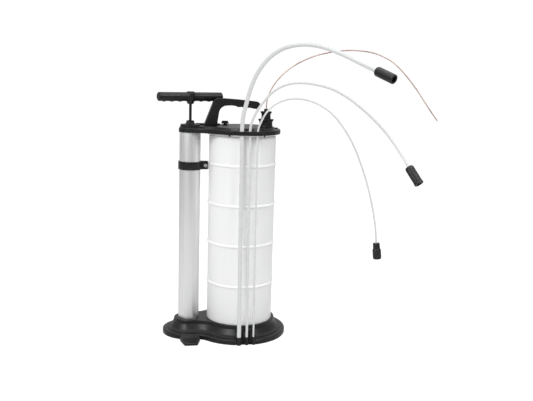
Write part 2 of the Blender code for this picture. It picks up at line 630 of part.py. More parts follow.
def make_clamp():
    """A split strap round the barrel whose two ears are bolted to the tank's lug."""
    inner, outer, ear_in, ear_out = BARREL_R + GAP, 0.0278, 0.0038, 0.0062
    ear_end = AXIS_GAP + CLAMP_BOLT_X + 0.0060
    inner_angle = math.degrees(math.asin(ear_in / inner))
    outer_angle = math.degrees(math.asin(ear_out / outer))
    outline = arc((0, 0), outer, outer_angle, 360 - outer_angle, 28)
    outline += [(ear_end, -ear_out), (ear_end, -ear_in)]
    outline += arc((0, 0), inner, 360 - inner_angle, inner_angle, 28)
    outline += [(ear_end, ear_in), (ear_end, ear_out)]
    strap = plate("clamp_strap", outline, CLAMP_HEIGHT, "black_plastic", parent=pump_axis,
                  location=(0, 0, CLAMP_Z))
    place = {"parent": tank_axis, "location": (CLAMP_BOLT_X, 0, CLAMP_Z), "rotation": (math.pi / 2, 0, 0)}
    boolean(strap, prism("strap_hole", 0.0024, SMALL, 0.02, -0.02, **place))
    washer_back = ear_out + GAP
    tube("clamp_washer", 0.0043, 0.0024, washer_back + 0.0008, washer_back, "steel", ROUND, **place)
    head = washer_back + 0.0008 + GAP
    turned("clamp_bolt", [(0, head + 0.0024), (0.0024, head + 0.0024), (0.0034, head + 0.0012),
                          (0.0034, head), (0.0020, head), (0.0020, -0.0120), (0, -0.0120)], "steel",
           SMALL, **place)
    nut = prism("clamp_nut", 0.0040, 6, -ear_out - GAP, -ear_out - GAP - 0.0030, "steel", **place)
    boolean(nut, prism("clamp_nut_bore", 0.0023, SMALL, 0.0, -0.02, **place))


def make_gland():
    seat = LID_DISC_TOP + GAP
    bore = ROD_R + ROD_CLEARANCE
    profile = [(0.0072, 0.5215), (0.0090, 0.5205), (0.0098, 0.5160), (0.0118, seat + 0.0010), (0.0118, seat),
               (0.0082, seat), (0.0082, 0.5010), (bore, 0.5010), (bore, 0.5165), (0.0056, 0.5165),
               (0.0056, 0.5200), (bore, 0.5200), (bore, 0.5215)]
    turned("rod_guide", profile, "black_plastic", ROUND, closed=True, parent=pump_axis)
    tube("rod_seal", 0.0053, bore, 0.5197, 0.5168, "seal_rubber", ROUND, parent=pump_axis)


def make_valves():
    """Two rubber umbrella valves in the pump's head: air in from the tank, air out."""
    for name, y in (("inlet_valve", 0.0152), ("outlet_valve", -0.0152)):
        ceiling = LID_UNDERSIDE - GAP
        profile = [(0, ceiling), (0.0016, ceiling), (0.0016, 0.5035), (0.0050, 0.5020), (0.0050, 0.5012),
                   (0, 0.5012)]
        turned(name, profile, "rubber", SMALL, parent=pump_axis, location=(0, y, 0))


def make_piston():
    bore = ROD_R + ROD_CLEARANCE
    tube("piston", 0.0224, bore, 0.0780, 0.0660, "acetal", BARREL_STEPS, parent=piston_mark)
    cup = [(0.0228, 0.0880), (0.0228, 0.0783), (bore, 0.0783), (bore, 0.0800), (0.0195, 0.0800),
           (0.0212, 0.0880)]
    turned("piston_cup", cup, "rubber", BARREL_STEPS, closed=True, parent=piston_mark)
    tube("piston_washer", 0.0150, bore, 0.0818, 0.0803, "steel", ROUND, parent=piston_mark)
    nut = prism("piston_nut", 0.0068, 6, 0.0657, 0.0600, "steel", parent=piston_mark)
    boolean(nut, prism("piston_nut_bore", bore, SMALL, 0.07, 0.05, parent=piston_mark))


def make_rod_and_handle():
    collar = [(0, 0.5810), (ROD_R, 0.5810), (ROD_R, 0.0865), (0.0055, 0.0860), (0.0055, 0.0821),
              (ROD_R, 0.0821), (ROD_R, 0.0580), (0, 0.0580)]
    turned("piston_rod", collar, "steel", 16, parent=handle_mark)
    cap_length = 0.0040
    body_half = BAR_HALF - cap_length - GAP
    along = {"parent": handle_mark, "location": (0, 0, BAR_Z), "rotation": (0, math.pi / 2, 0)}
    bar = prism("t_handle", BAR_R, 16, body_half, -body_half, "black_plastic", **along)
    lowered = dict(along, location=(0, 0, BAR_Z - FINGER_PROUD))
    keel = prism("finger_keel", BAR_R, 16, KEEL_HALF, -KEEL_HALF, **lowered)
    boolean(bar, keel, "UNION")
    groove_z = BAR_Z - BAR_R - GROOVE_R + 0.0001
    for side in (-1, 1):
        for i in range(4):
            place = {"parent": handle_mark, "rotation": (math.pi / 2, 0, 0),
                     "location": (side * (GROOVE_START + GROOVE_PITCH * i), 0, groove_z)}
            boolean(bar, prism(f"finger_groove_{side}_{i}", GROOVE_R, 48, 0.02, -0.02, **place))
    boss = turned("handle_boss", [(0, 0.5895), (0.0075, 0.5892), (0.0105, 0.5872), (0.0120, 0.5840),
                                  (0.0124, 0.5790), (0.0122, 0.5740), (0.0108, 0.5690), (0.0088, 0.5655),
                                  (0.0068, 0.5600), (0, 0.5600)], parent=handle_mark)
    boolean(bar, boss, "UNION")
    boolean(bar, prism("rod_socket", ROD_R + GAP, 16, 0.5815, 0.55, parent=handle_mark))
    cap = [(0, BAR_HALF), (BAR_END_R, BAR_HALF), (BAR_R, BAR_HALF - 0.0020),
           (BAR_R, BAR_HALF - cap_length), (0, BAR_HALF - cap_length)]
    for name, turn in (("bar_cap_right", math.pi / 2), ("bar_cap_left", -math.pi / 2)):
        turned(name, cap, "black_plastic", 16, parent=handle_mark, location=(0, 0, BAR_Z),
               rotation=(0, turn, 0))


# ---------------------------------------------------------------- lid fittings

def make_port():
    place = {"parent": tank_axis, "location": (*PORT, 0)}
    seat = LID_TOP + GAP
    bore = 0.0040
    turned("port_base", [(0.0150, 0.5295), (0.0181, 0.5290), (0.0181, 0.5262), (0.0157, 0.5246),
                         (0.0157, 0.5150), (0.0166, seat), (0.0082, seat), (0.0082, 0.5020),
                         (bore, 0.5020), (bore, 0.5230), (0.0080, 0.5230), (0.0080, 0.5295)],
           "black_plastic", ROUND, closed=True, **place)
    tube("port_seal", 0.0077, bore, 0.5247, 0.5233, "seal_rubber", ROUND, **place)
    bore = 0.0020
    turned("hose_adapter", [(0.0118, 0.5475), (0.0136, 0.5470), (0.0136, 0.5443), (0.0110, 0.5422),
                            (0.0110, 0.5298), (0.0077, 0.5298), (0.0077, 0.5250), (bore, 0.5250),
                            (bore, 0.5350), (0.0054, 0.5350), (0.0054, 0.5475)],
           "black_plastic", ROUND, closed=True, **place)
    turned("tube_nipple", [(0.0030, 0.5534), (0.0050, 0.5530), (0.0053, 0.5478), (0.0051, 0.5478),
                           (0.0051, 0.5360), (0.0012, 0.5360), (0.0012, 0.5534)],
           "rubber", ROUND, closed=True, **place)


def make_float_valve():
    """Overfill stop under the port: a cage and the float that rises in it to close the port."""
    place = {"parent": tank_axis, "location": (*PORT, 0)}
    outer, inner, bottom = 0.0135, 0.0120, 0.4450
    cage = turned("float_cage", [(outer, LID_UNDERSIDE - GAP), (outer, bottom), (0.0060, bottom),
                                 (0.0060, bottom + 0.0015), (inner, bottom + 0.0015),
                                 (inner, LID_UNDERSIDE - GAP)], "acetal", ROUND, closed=True, **place)
    for i, turn in enumerate((0.0, math.pi / 2)):
        boolean(cage, box(f"cage_window_{i}", (0.05, 0.0080, 0.0280), (0, 0, 0.4700), parent=tank_axis,
                          location=(*PORT, 0), rotation=(0, 0, turn)))
    turned("float", [(0, 0.4790), (0.0040, 0.4785), (0.0110, 0.4710), (0.0110, 0.4500), (0.0090, 0.4468),
                     (0, 0.4468)], "acetal", ROUND, parent=float_mark)


def make_vent():
    """Push button that lets air back into the tank, with its seat, spring and seal."""
    place = {"parent": tank_axis, "location": (*VENT, 0)}
    seat = LID_TOP + GAP
    bore = 0.0028
    turned("vent_seat", [(0.0058, seat + 0.0014), (0.0058, seat), (0.0045, seat), (0.0045, 0.5010),
                         (bore, 0.5010), (bore, seat + 0.0014)], "black_plastic", ROUND, closed=True, **place)
    turned("vent_button", [(0, 0.5190), (0.0072, 0.5190), (0.0080, 0.5182), (0.0080, 0.5158),
                           (0.0096, 0.5138), (0.0096, 0.5127), (0.0061, 0.5127), (0.0061, 0.5165),
                           (0.0025, 0.5165), (0.0025, 0.4960), (0, 0.4960)], "black_plastic", ROUND,
           parent=vent_mark)
    tube("vent_seal", 0.0044, 0.0028, 0.5007, 0.4985, "rubber", SMALL, parent=vent_mark)
    turns, per_turn, wire_r = 3, 10, 0.0003
    low, high = seat + 0.0014 + GAP + wire_r, 0.5165 - GAP - wire_r
    curve = bpy.data.curves.new("vent_spring", "CURVE")
    curve.dimensions = "3D"
    curve.bevel_depth = wire_r
    curve.bevel_resolution = 1
    curve.use_fill_caps = True
    spline = curve.splines.new("POLY")
    count = turns * per_turn
    spline.points.add(count)
    for i, point in enumerate(spline.points):
        angle = 2 * math.pi * i / per_turn
        point.co = (0.0047 * math.cos(angle), 0.0047 * math.sin(angle), low + (high - low) * i / count, 1)
    add_object("vent_spring", curve, "steel", **place)


# ---------------------------------------------------------------- hoses

def make_hoses():
    for size, data in HOSES.items():
        hose(f"{size}_hose", ROUTES[size], data["diameter"], HOSE_SAMPLES[size], "hose_plastic")
    hose("thin_tube", ROUTES["thin"], THIN_DIAMETER, HOSE_SAMPLES["thin"], "copper_tube")


def make_connectors():
    """Rubber connectors on the hose ends, along the last stretch of each hose."""
    shapes = {
        "large": [(0.0098, 0.0480), (0.0104, 0.0468), (0.0104, 0.0020), (0.0092, 0.0), (0, 0.0),
                  (0, 0.0220), (0.0064, 0.0220), (0.0064, 0.0480)],
        "medium": [(0.0096, 0.0445), (0.0104, 0.0432), (0.0100, 0.0030), (0.0088, 0.0), (0, 0.0),
                   (0, 0.0200), (0.0062, 0.0200), (0.0062, 0.0445)],
        "small": [(0.0090, 0.0380), (0.0100, 0.0370), (0.0100, 0.0160), (0.0085, 0.0140),
                  (0.0080, 0.0010), (0.0072, 0.0), (0, 0.0), (0, 0.0200), (0.0060, 0.0200),
                  (0.0060, 0.0380)],
    }
    for size, shape in shapes.items():
        end, before = Vector(ROUTES[size][-1]), Vector(ROUTES[size][-2])
        direction = (end - before).normalized()
        profile = shape + [shape[0]]
        turned(f"{size}_connector", profile, "rubber", ROUND, parent=tank_axis,
               location=end + direction * GAP, rotation=aim(direction))


# ---------------------------------------------------------------- assembly

clear_scene()
parts = new_collection(COLLECTION)
cutters = new_collection("cutters")
materials = make_materials()
tank_axis = new_empty("tank_axis", (TANK_X, TANK_Y, 0))
pump_axis = new_empty("pump_axis", (TANK_X - AXIS_GAP, TANK_Y, 0))
piston_mark = new_empty("piston_mark", (TANK_X - AXIS_GAP, TANK_Y, 0))
handle_mark = new_empty("handle_mark", (TANK_X - AXIS_GAP, TANK_Y, 0))
handle_mark.rotation_euler = (0, 0, BAR_TURN)
float_mark = new_empty("float_mark", (TANK_X + PORT[0], TANK_Y + PORT[1], 0))
vent_mark = new_empty("vent_mark", (TANK_X + VENT[0], TANK_Y + VENT[1], 0))

make_base()
make_hose_holder()
make_foot_screw()
make_tank()
make_gasket()
make_lid()
make_lid_screws()
make_carry_handle()
make_handle_screws()
make_barrel()
make_clamp()
make_gland()
make_valves()
make_piston()
make_rod_and_handle()
make_port()
make_float_valve()
make_vent()
make_hoses()
make_connectors()
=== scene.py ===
"""Looks of the manual fluid transfer pump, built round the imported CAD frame. Metres, +Z up."""
import json
import math

import bmesh
import bpy
from mathutils import Matrix, Vector


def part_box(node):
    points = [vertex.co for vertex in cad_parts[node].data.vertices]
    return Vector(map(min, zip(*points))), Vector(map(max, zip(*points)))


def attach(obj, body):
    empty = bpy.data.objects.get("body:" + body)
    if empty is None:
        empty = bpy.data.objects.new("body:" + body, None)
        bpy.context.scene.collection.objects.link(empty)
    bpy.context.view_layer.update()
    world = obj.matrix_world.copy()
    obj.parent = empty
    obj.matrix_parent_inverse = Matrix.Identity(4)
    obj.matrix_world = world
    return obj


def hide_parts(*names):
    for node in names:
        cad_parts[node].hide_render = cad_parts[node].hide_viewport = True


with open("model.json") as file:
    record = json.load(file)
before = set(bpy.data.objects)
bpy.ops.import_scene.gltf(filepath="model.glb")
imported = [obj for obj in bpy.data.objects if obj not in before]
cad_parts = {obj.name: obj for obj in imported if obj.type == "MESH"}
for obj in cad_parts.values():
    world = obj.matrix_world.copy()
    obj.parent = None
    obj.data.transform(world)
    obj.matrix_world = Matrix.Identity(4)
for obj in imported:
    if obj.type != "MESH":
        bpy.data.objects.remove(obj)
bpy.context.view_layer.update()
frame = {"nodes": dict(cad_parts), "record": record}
record = frame["record"]
SLOT = {part["node"]: part["material_slot"] for part in record["subparts"]}
BODY = {node: body for body, nodes in record["behaviour"]["bodies"].items() for node in nodes}


def axis_of(node):
    """The vertical axis of a round CAD node, as (x, y)."""
    low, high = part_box(node)
    return (low.x + high.x) / 2, (low.y + high.y) / 2


TANK = axis_of("tank_gasket")
PUMP = axis_of("pump_barrel")
PORT = axis_of("port_base")
VENT = axis_of("vent_seat")
AXIS_GAP = TANK[0] - PUMP[0]

GAP = 0.0003                          # drawn clearance between touching pieces
BASE_TANK_R = 0.1145
BASE_PUMP_R = 0.0625
BASE_WAIST_R = 0.04
BASE_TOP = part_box("base")[1].z
BASE_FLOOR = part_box("tank")[0].z - GAP
TANK_R = 0.08
TANK_WALL = 0.0022
TANK_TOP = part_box("tank")[1].z
TANK_RIM_R = 0.0856
TANK_RIBS = (0.421, 0.326, 0.23, 0.131)
LID_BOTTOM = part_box("lid")[0].z
LID_DISC_TOP = LID_BOTTOM + 0.0185
LID_RIM_TOP = LID_BOTTOM + 0.0105
LID_TOP = LID_BOTTOM + 0.0155
LID_CEILING = LID_BOTTOM + 0.0125
LID_CHANNEL = LID_BOTTOM + 0.0082
LID_TANK_R = 0.0904
LID_PUMP_R = 0.027
LID_WAIST_RIM = 0.12
LID_WAIST_TOP = 0.07
LID_SCREW_R = 0.082
LID_HOLE_R = 0.0025
BELOW_LID, ABOVE_LID = 0.48, 0.53     # a hole through the lid is cut between these heights
HANDLE_SCREW_RS = (LID_SCREW_R, 0.069)
BARREL_R = 0.025
CLAMP_Z = (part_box("clamp_strap")[0].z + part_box("clamp_strap")[1].z) / 2
CLAMP_HEIGHT = 0.0195
CLAMP_BOLT_X = TANK[0] - 0.089
CLAMP_HOLE_R = 0.0024
BAR_TURN = math.radians(22)
BAR_Z = 0.577
BAR_R = 0.0105
BAR_HALF = 0.083
BAR_CAP_LENGTH = 0.004
HOSES = ("large", "medium", "small")
HOSE_R = {"large": 0.0048, "medium": 0.0029, "small": 0.0021, "thin": 0.0015}
HOSE_BORE, THIN_BORE = 0.68, 0.55     # bore, as a share of the outside
HOSE_FOOT_Y = -0.111
HOSE_GUIDE_Y = -0.0905
GUIDE_POINT = 7                       # the point of each hose's route that lies in the lid's guide

# The hoses' routes, from the tank axis and the floor, as the CAD model has them.
ROUTES = {
    "large": [
        (-0.0142, -0.111, 0.006), (-0.0142, -0.1108, 0.04), (-0.0141, -0.107, 0.1), (-0.014, -0.1, 0.21),
        (-0.014, -0.095, 0.33), (-0.014, -0.0922, 0.42), (-0.0146, -0.0908, 0.47),
        (-0.0148, -0.0905, 0.505), (-0.0132, -0.0914, 0.534), (-0.0075, -0.0945, 0.564),
        (0.003, -0.1005, 0.606), (0.017, -0.1085, 0.64), (0.038, -0.1205, 0.67), (0.064, -0.1355, 0.69),
        (0.092, -0.152, 0.699), (0.122, -0.169, 0.7), (0.1528, -0.188, 0.693), (0.1838, -0.2103, 0.6799),
        (0.212, -0.2374, 0.6638), (0.2374, -0.2748, 0.6479),
    ],
    "medium": [
        (0.0042, -0.111, 0.006), (0.0042, -0.1108, 0.04), (0.0042, -0.107, 0.1), (0.0042, -0.1, 0.21),
        (0.0048, -0.095, 0.33), (0.0052, -0.0922, 0.42), (0.005, -0.0908, 0.47), (0.004, -0.0905, 0.505),
        (0.0074, -0.0911, 0.525), (0.0172, -0.0946, 0.549), (0.031, -0.1, 0.571), (0.0482, -0.107, 0.5925),
        (0.069, -0.1158, 0.608), (0.09, -0.1247, 0.6155), (0.113, -0.134, 0.6175), (0.143, -0.146, 0.6145),
        (0.177, -0.16, 0.605), (0.209, -0.1728, 0.5875), (0.237, -0.1842, 0.566), (0.2637, -0.1959, 0.5416),
        (0.2887, -0.2093, 0.5133), (0.3084, -0.2258, 0.4837), (0.3275, -0.2539, 0.4454),
    ],
    "small": [
        (0.0202, -0.111, 0.006), (0.0202, -0.1108, 0.04), (0.0204, -0.107, 0.1), (0.0208, -0.1, 0.21),
        (0.0212, -0.095, 0.33), (0.0216, -0.0922, 0.42), (0.0222, -0.0908, 0.47), (0.0222, -0.0905, 0.505),
        (0.0285, -0.0916, 0.5255), (0.04, -0.0936, 0.5475), (0.058, -0.0968, 0.566),
        (0.0815, -0.101, 0.5775), (0.107, -0.1054, 0.5812), (0.1335, -0.11, 0.578), (0.162, -0.1151, 0.567),
        (0.19, -0.12, 0.547), (0.216, -0.1246, 0.516), (0.239, -0.1287, 0.478), (0.258, -0.132, 0.4345),
        (0.2745, -0.135, 0.388), (0.2885, -0.1375, 0.337), (0.2975, -0.139, 0.292), (0.302, -0.1398, 0.251),
    ],
    "thin": [
        (0.0505, -0.03, 0.554), (0.0525, -0.0304, 0.576), (0.0585, -0.0315, 0.594), (0.0725, -0.034, 0.618),
        (0.096, -0.0381, 0.643), (0.1245, -0.0431, 0.663), (0.158, -0.049, 0.6785),
        (0.191, -0.0548, 0.6877), (0.22, -0.06, 0.6926), (0.254, -0.066, 0.694), (0.288, -0.072, 0.6905),
        (0.317, -0.0771, 0.6812), (0.342, -0.0815, 0.667), (0.368, -0.0861, 0.6425),
        (0.394, -0.0907, 0.612), (0.415, -0.0944, 0.583), (0.436, -0.0981, 0.554), (0.45, -0.1005, 0.536),
    ],
}


# ---- camera, light and floor

def make_camera():
    """Looks slightly down at the object from its front left, with a slight tilt."""
    azimuth, elevation, roll = math.radians(-10.12), math.radians(9.88), math.radians(1.605)
    distance = 1.8438
    target = Vector((PUMP[0] + 0.1886, PUMP[1], 0.3281))
    back = Vector((math.sin(azimuth) * math.cos(elevation), -math.cos(azimuth) * math.cos(elevation),
                   math.sin(elevation)))
    level = Vector((0, 0, 1)).cross(back).normalized()
    upright = back.cross(level)
    right = level * math.cos(roll) + upright * math.sin(roll)
    up = upright * math.cos(roll) - level * math.sin(roll)
    data = bpy.data.cameras.new("camera")
    data.lens = 50.72
    data.sensor_width = 36.0
    data.clip_start, data.clip_end = 0.05, 60
    camera = bpy.data.objects.new("camera", data)
    place = Matrix((right, up, back)).transposed().to_4x4()
    place.translation = target + back * distance
    camera.matrix_world = place
    bpy.context.scene.collection.objects.link(camera)
    bpy.context.scene.camera = camera


def area_light(name, location, size, power):
    """A square soft box, aimed at the middle of the object."""
    data = bpy.data.lights.new(name, "AREA")
    data.shape = "SQUARE"
    data.size = size
    data.energy = power
    light = bpy.data.objects.new(name, data)
    light.location = location
    light.rotation_euler = (Vector((0, 0, 0.3)) - Vector(location)).to_track_quat("-Z", "Y").to_euler()
    bpy.context.scene.collection.objects.link(light)


def set_inputs(node, **values):
    """Sets a node's inputs by their names, written with _ for a space."""
    for name, value in values.items():
        node.inputs[name.replace("_", " ")].default_value = value


def camera_switch(tree, lighting, seen, output):
    """The camera sees one shader, and every other ray meets the other."""
    path = tree.nodes.new("ShaderNodeLightPath")
    mix = tree.nodes.new("ShaderNodeMixShader")
    tree.links.new(path.outputs["Is Camera Ray"], mix.inputs[0])
    tree.links.new(lighting.outputs[0], mix.inputs[1])
    tree.links.new(seen.outputs[0], mix.inputs[2])
    tree.links.new(mix.outputs[0], tree.nodes[output].inputs["Surface"])


def make_world():
    """White backdrop; what lights the object is bright behind and overhead, and dim in front."""
    world = bpy.data.worlds.new("studio")
    bpy.context.scene.world = world
    world.use_nodes = True
    tree = world.node_tree
    surroundings = tree.nodes["Background"]
    coords = tree.nodes.new("ShaderNodeTexCoord")
    lean = tree.nodes.new("ShaderNodeVectorMath")
    lean.operation = "DOT_PRODUCT"
    lean.inputs[1].default_value = (-0.1, 0.3, 0.95)
    ramp = tree.nodes.new("ShaderNodeMapRange")
    set_inputs(ramp, From_Min=-0.3, From_Max=0.7, To_Min=0.05, To_Max=0.8)
    tree.links.new(coords.outputs["Generated"], lean.inputs[0])
    tree.links.new(lean.outputs["Value"], ramp.inputs["Value"])
    tree.links.new(ramp.outputs[0], surroundings.inputs["Strength"])
    backdrop = tree.nodes.new("ShaderNodeBackground")
    set_inputs(surroundings, Color=(1, 1, 1, 1))
    set_inputs(backdrop, Color=(1, 1, 1, 1), Strength=1.02)
    camera_switch(tree, surroundings, backdrop, "World Output")
    bpy.context.scene.view_settings.view_transform = "Standard"


def make_floor():
    """A plain white floor that only takes a faint shadow."""
    mesh = bpy.data.meshes.new("floor")
    work = bmesh.new()
    bmesh.ops.create_circle(work, cap_ends=True, radius=30, segments=64)
    work.to_mesh(mesh)
    work.free()
    floor = bpy.data.objects.new("floor", mesh)
    floor.location.z = -0.0002
    bpy.context.scene.collection.objects.link(floor)
    material = bpy.data.materials.new("floor")
    material.use_nodes = True
    tree = material.node_tree
    paint = tree.nodes["Principled BSDF"]
    set_inputs(paint, Base_Color=(0.62, 0.62, 0.62, 1), Roughness=0.9, Specular_IOR_Level=0.1)
    lit = tree.nodes.new("ShaderNodeBsdfPrincipled")
    set_inputs(lit, Base_Color=(0.25, 0.25, 0.25, 1), Roughness=0.9, Specular_IOR_Level=0.0,
               Emission_Color=(1, 1, 1, 1), Emission_Strength=0.86)
    camera_switch(tree, paint, lit, "Material Output")
    mesh.materials.append(material)


# ---- materials

class Look:
    """A Principled material with a few noise layers for colour, roughness and relief."""

    def __init__(self, name, colour, roughness, metallic=0.0, **sockets):
        self.material = bpy.data.materials.new(name)
        self.material.use_nodes = True
        self.tree = self.material.node_tree
        self.shader = self.tree.nodes["Principled BSDF"]
        set_inputs(self.shader, Base_Color=(*colour, 1), Roughness=roughness, Metallic=metallic, **sockets)
        self.link = self.tree.links.new
        self.coords = self.add("TexCoord")
        self.normal = None

    def add(self, kind):
        return self.tree.nodes.new("ShaderNode" + kind)

    def noise(self, scale, detail, stretch=(1, 1, 1)):
        mapping = self.add("Mapping")
        texture = self.add("TexNoise")
        set_inputs(mapping, Scale=stretch)
        set_inputs(texture, Scale=scale, Detail=detail)
        self.link(self.coords.outputs["Object"], mapping.inputs["Vector"])
        self.link(mapping.outputs[0], texture.inputs["Vector"])
        return texture.outputs["Fac"]

    def spread(self, value, low, high, start=0.3, end=0.7):
        ramp = self.add("MapRange")
        set_inputs(ramp, From_Min=start, From_Max=end, To_Min=low, To_Max=high)
        self.link(value, ramp.inputs["Value"])
        return ramp.outputs[0]

    def vary_roughness(self, value, low, high):
        self.link(self.spread(value, low, high), self.shader.inputs["Roughness"])

    def vary_colour(self, value, dark, light, start=0.3, end=0.7):
        mix = self.add("Mix")
        mix.data_type = "RGBA"
        set_inputs(mix, A=(*dark, 1), B=(*light, 1))
        self.link(self.spread(value, 0, 1, start, end), mix.inputs["Factor"])
        self.link(mix.outputs["Result"], self.shader.inputs["Base Color"])

    def relief(self, value, depth, strength):
        bump = self.add("Bump")
        set_inputs(bump, Distance=depth, Strength=strength)
        self.link(value, bump.inputs["Height"])
        if self.normal is not None:
            self.link(self.normal, bump.inputs["Normal"])
        self.normal = bump.outputs["Normal"]
        self.link(self.normal, self.shader.inputs["Normal"])


def black_plastic():
    look = Look("black_plastic", (0.008, 0.008, 0.0085), 0.38, Specular_IOR_Level=0.32)
    look.vary_colour(look.noise(45, 4), (0.006, 0.006, 0.0064), (0.01, 0.01, 0.0104))
    look.vary_roughness(look.noise(160, 5), 0.32, 0.44)
    look.relief(look.noise(1500, 2), 0.00006, 0.5)
    return look.material


def tank_plastic():
    look = Look("tank_plastic", (0.9, 0.91, 0.9), 0.36, Specular_IOR_Level=0.4, Subsurface_Weight=0.35,
                Subsurface_Radius=(1.0, 1.0, 0.95), Subsurface_Scale=0.006)
    look.vary_colour(look.noise(9, 3, (1, 1, 0.35)), (0.925, 0.93, 0.925), (0.955, 0.96, 0.955))
    look.vary_roughness(look.noise(60, 4), 0.3, 0.42)
    look.relief(look.noise(22, 2, (1, 1, 0.5)), 0.0009, 0.35)
    look.relief(look.noise(900, 2), 0.00004, 0.4)
    return look.material


def aluminium():
    look = Look("aluminium", (0.8, 0.81, 0.82), 0.3, 1.0)
    streaks = look.noise(420, 4, (1, 1, 0.004))
    look.vary_colour(streaks, (0.8, 0.8, 0.805), (0.88, 0.88, 0.885))
    look.vary_roughness(look.noise(700, 3, (1, 1, 0.006)), 0.36, 0.5)
    look.relief(streaks, 0.00004, 0.35)
    return look.material


def steel():
    look = Look("steel", (0.52, 0.52, 0.53), 0.25, 1.0)
    look.vary_colour(look.noise(220, 3), (0.44, 0.44, 0.45), (0.6, 0.6, 0.61))
    look.vary_roughness(look.noise(500, 4, (1, 1, 0.2)), 0.18, 0.34)
    return look.material


def dark_steel():
    look = Look("dark_steel", (0.1, 0.1, 0.105), 0.25, 1.0)
    look.vary_colour(look.noise(160, 3, (1, 1, 0.1)), (0.045, 0.045, 0.048), (0.085, 0.085, 0.09))
    look.vary_roughness(look.noise(400, 4, (1, 1, 0.05)), 0.18, 0.32)
    return look.material


def rubber(name="rubber", tone=0.006):
    look = Look(name, (tone, tone, tone), 0.4, Specular_IOR_Level=0.4)
    look.vary_colour(look.noise(70, 4), (tone * 0.8,) * 3, (tone * 1.5,) * 3)
    look.vary_roughness(look.noise(240, 4), 0.34, 0.46)
    look.relief(look.noise(1100, 2), 0.00008, 0.5)
    return look.material


def acetal():
    look = Look("acetal", (0.8, 0.79, 0.74), 0.4)
    look.vary_colour(look.noise(60, 3), (0.76, 0.75, 0.7), (0.83, 0.82, 0.77))
    look.vary_roughness(look.noise(300, 3), 0.34, 0.46)
    return look.material


def hose_plastic():
    """Clear plastic with painted light: a slight even glow over a darker base colour lifts the shaded side,
    standing in for the light that shines through the thin wall.
    """
    look = Look("hose_plastic", (0.4, 0.405, 0.41), 0.3, Specular_IOR_Level=0.4,
                Emission_Color=(1, 1, 1, 1), Emission_Strength=0.28)
    look.vary_colour(look.noise(14, 2), (0.34, 0.345, 0.35), (0.375, 0.38, 0.38))
    look.vary_roughness(look.noise(60, 2), 0.24, 0.34)
    return look.material


def copper_tube():
    look = Look("copper_tube", (0.42, 0.29, 0.25), 0.3, 0.2)
    look.vary_colour(look.noise(26, 4), (0.33, 0.2, 0.165), (0.56, 0.44, 0.4), 0.35, 0.65)
    look.vary_roughness(look.noise(90, 3), 0.24, 0.42)
    return look.material


# ---- shape helpers

def arc(centre, radius, start, end, steps):
    """Points of an arc, both ends included; angles in degrees."""
    points = []
    for i in range(steps + 1):
        angle = math.radians(start + (end - start) * i / steps)
        points.append((centre[0] + radius * math.cos(angle), centre[1] + radius * math.sin(angle)))
    return points


def soften(points, closed=False, steps=5):
    """Rounds the corners of an outline. A point is (x, y) or (x, y, radius)."""
    out = []
    count = len(points)
    for i, point in enumerate(points):
        here = Vector(point[:2])
        radius = point[2] if len(point) > 2 else 0
        if radius == 0 or (not closed and i in (0, count - 1)):
            out.append(tuple(here))
            continue
        back = Vector(points[i - 1][:2]) - here
        ahead = Vector(points[(i + 1) % count][:2]) - here
        half = back.angle(ahead) / 2
        reach = min(radius / math.tan(half), back.length * 0.49, ahead.length * 0.49)
        start, end = here + back.normalized() * reach, here + ahead.normalized() * reach
        for k in range(steps + 1):
            t = k / steps
            out.append(tuple(start * (1 - t) ** 2 + here * 2 * t * (1 - t) + end * t ** 2))
    return out


ACROSS = Matrix.Rotation(math.pi / 2, 4, "X")      # turns a shape's Z to lie along -Y


def mesh_object(name, vertices, faces, material=None, place=None):
    mesh = bpy.data.meshes.new(name)
    mesh.from_pydata([tuple(v) for v in vertices], [], faces)
    work = bmesh.new()
    work.from_mesh(mesh)
    bmesh.ops.recalc_face_normals(work, faces=work.faces)
    work.to_mesh(mesh)
    work.free()
    if place is not None:
        mesh.transform(place)
    obj = bpy.data.objects.new(name, mesh)
    bpy.context.scene.collection.objects.link(obj)
    if material is not None:
        mesh.materials.append(looks[material])
    return obj


def shade(obj, angle=32):
    obj.data.shade_smooth()
    obj.data.set_sharp_from_angle(angle=math.radians(angle))
    return obj


def lathe(name, profile, material=None, steps=96, closed=False, place=None, swell=None):
    """Turns a profile of (radius, height) points about Z; swell(angle, radius, height) adds to a radius."""
    vertices, rings = [], []
    for radius, height in profile:
        if radius < 1e-6:
            rings.append([len(vertices)] * steps)
            vertices.append((0, 0, height))
            continue
        rings.append(list(range(len(vertices), len(vertices) + steps)))
        for i in range(steps):
            angle = 2 * math.pi * i / steps
            r = radius + (swell(angle, radius, height) if swell else 0)
            vertices.append((r * math.cos(angle), r * math.sin(angle), height))
    pairs = list(zip(rings, rings[1:]))
    if closed:
        pairs.append((rings[-1], rings[0]))
    faces = []
    for a, b in pairs:
        for i in range(steps):
            j = (i + 1) % steps
            face = list(dict.fromkeys((a[i], b[i], b[j], a[j])))
            if len(face) > 2:
                faces.append(face)
    return shade(mesh_object(name, vertices, faces, material, place))


def at(x, y, z=0.0, turn=None):
    place = Matrix.Translation((x, y, z))
    return place if turn is None else place @ turn


def loft(name, rings, material=None, place=None, smooth_angle=32):
    """A closed skin through rings of equal count, given from the bottom to the top."""
    count = len(rings[0])
    vertices = [vertex for ring in rings for vertex in ring]
    faces = [list(range(count)), list(range(len(vertices) - count, len(vertices)))]
    for level in range(len(rings) - 1):
        low = level * count
        for i in range(count):
            j = (i + 1) % count
            faces.append((low + i, low + j, low + count + j, low + count + i))
    return shade(mesh_object(name, vertices, faces, material, place), smooth_angle)


def slab(name, outline, low, high, material=None, place=None):
    """A flat outline in XY, extruded from low to high along Z."""
    return loft(name, [[(x, y, z) for x, y in outline] for z in (low, high)], material, place)


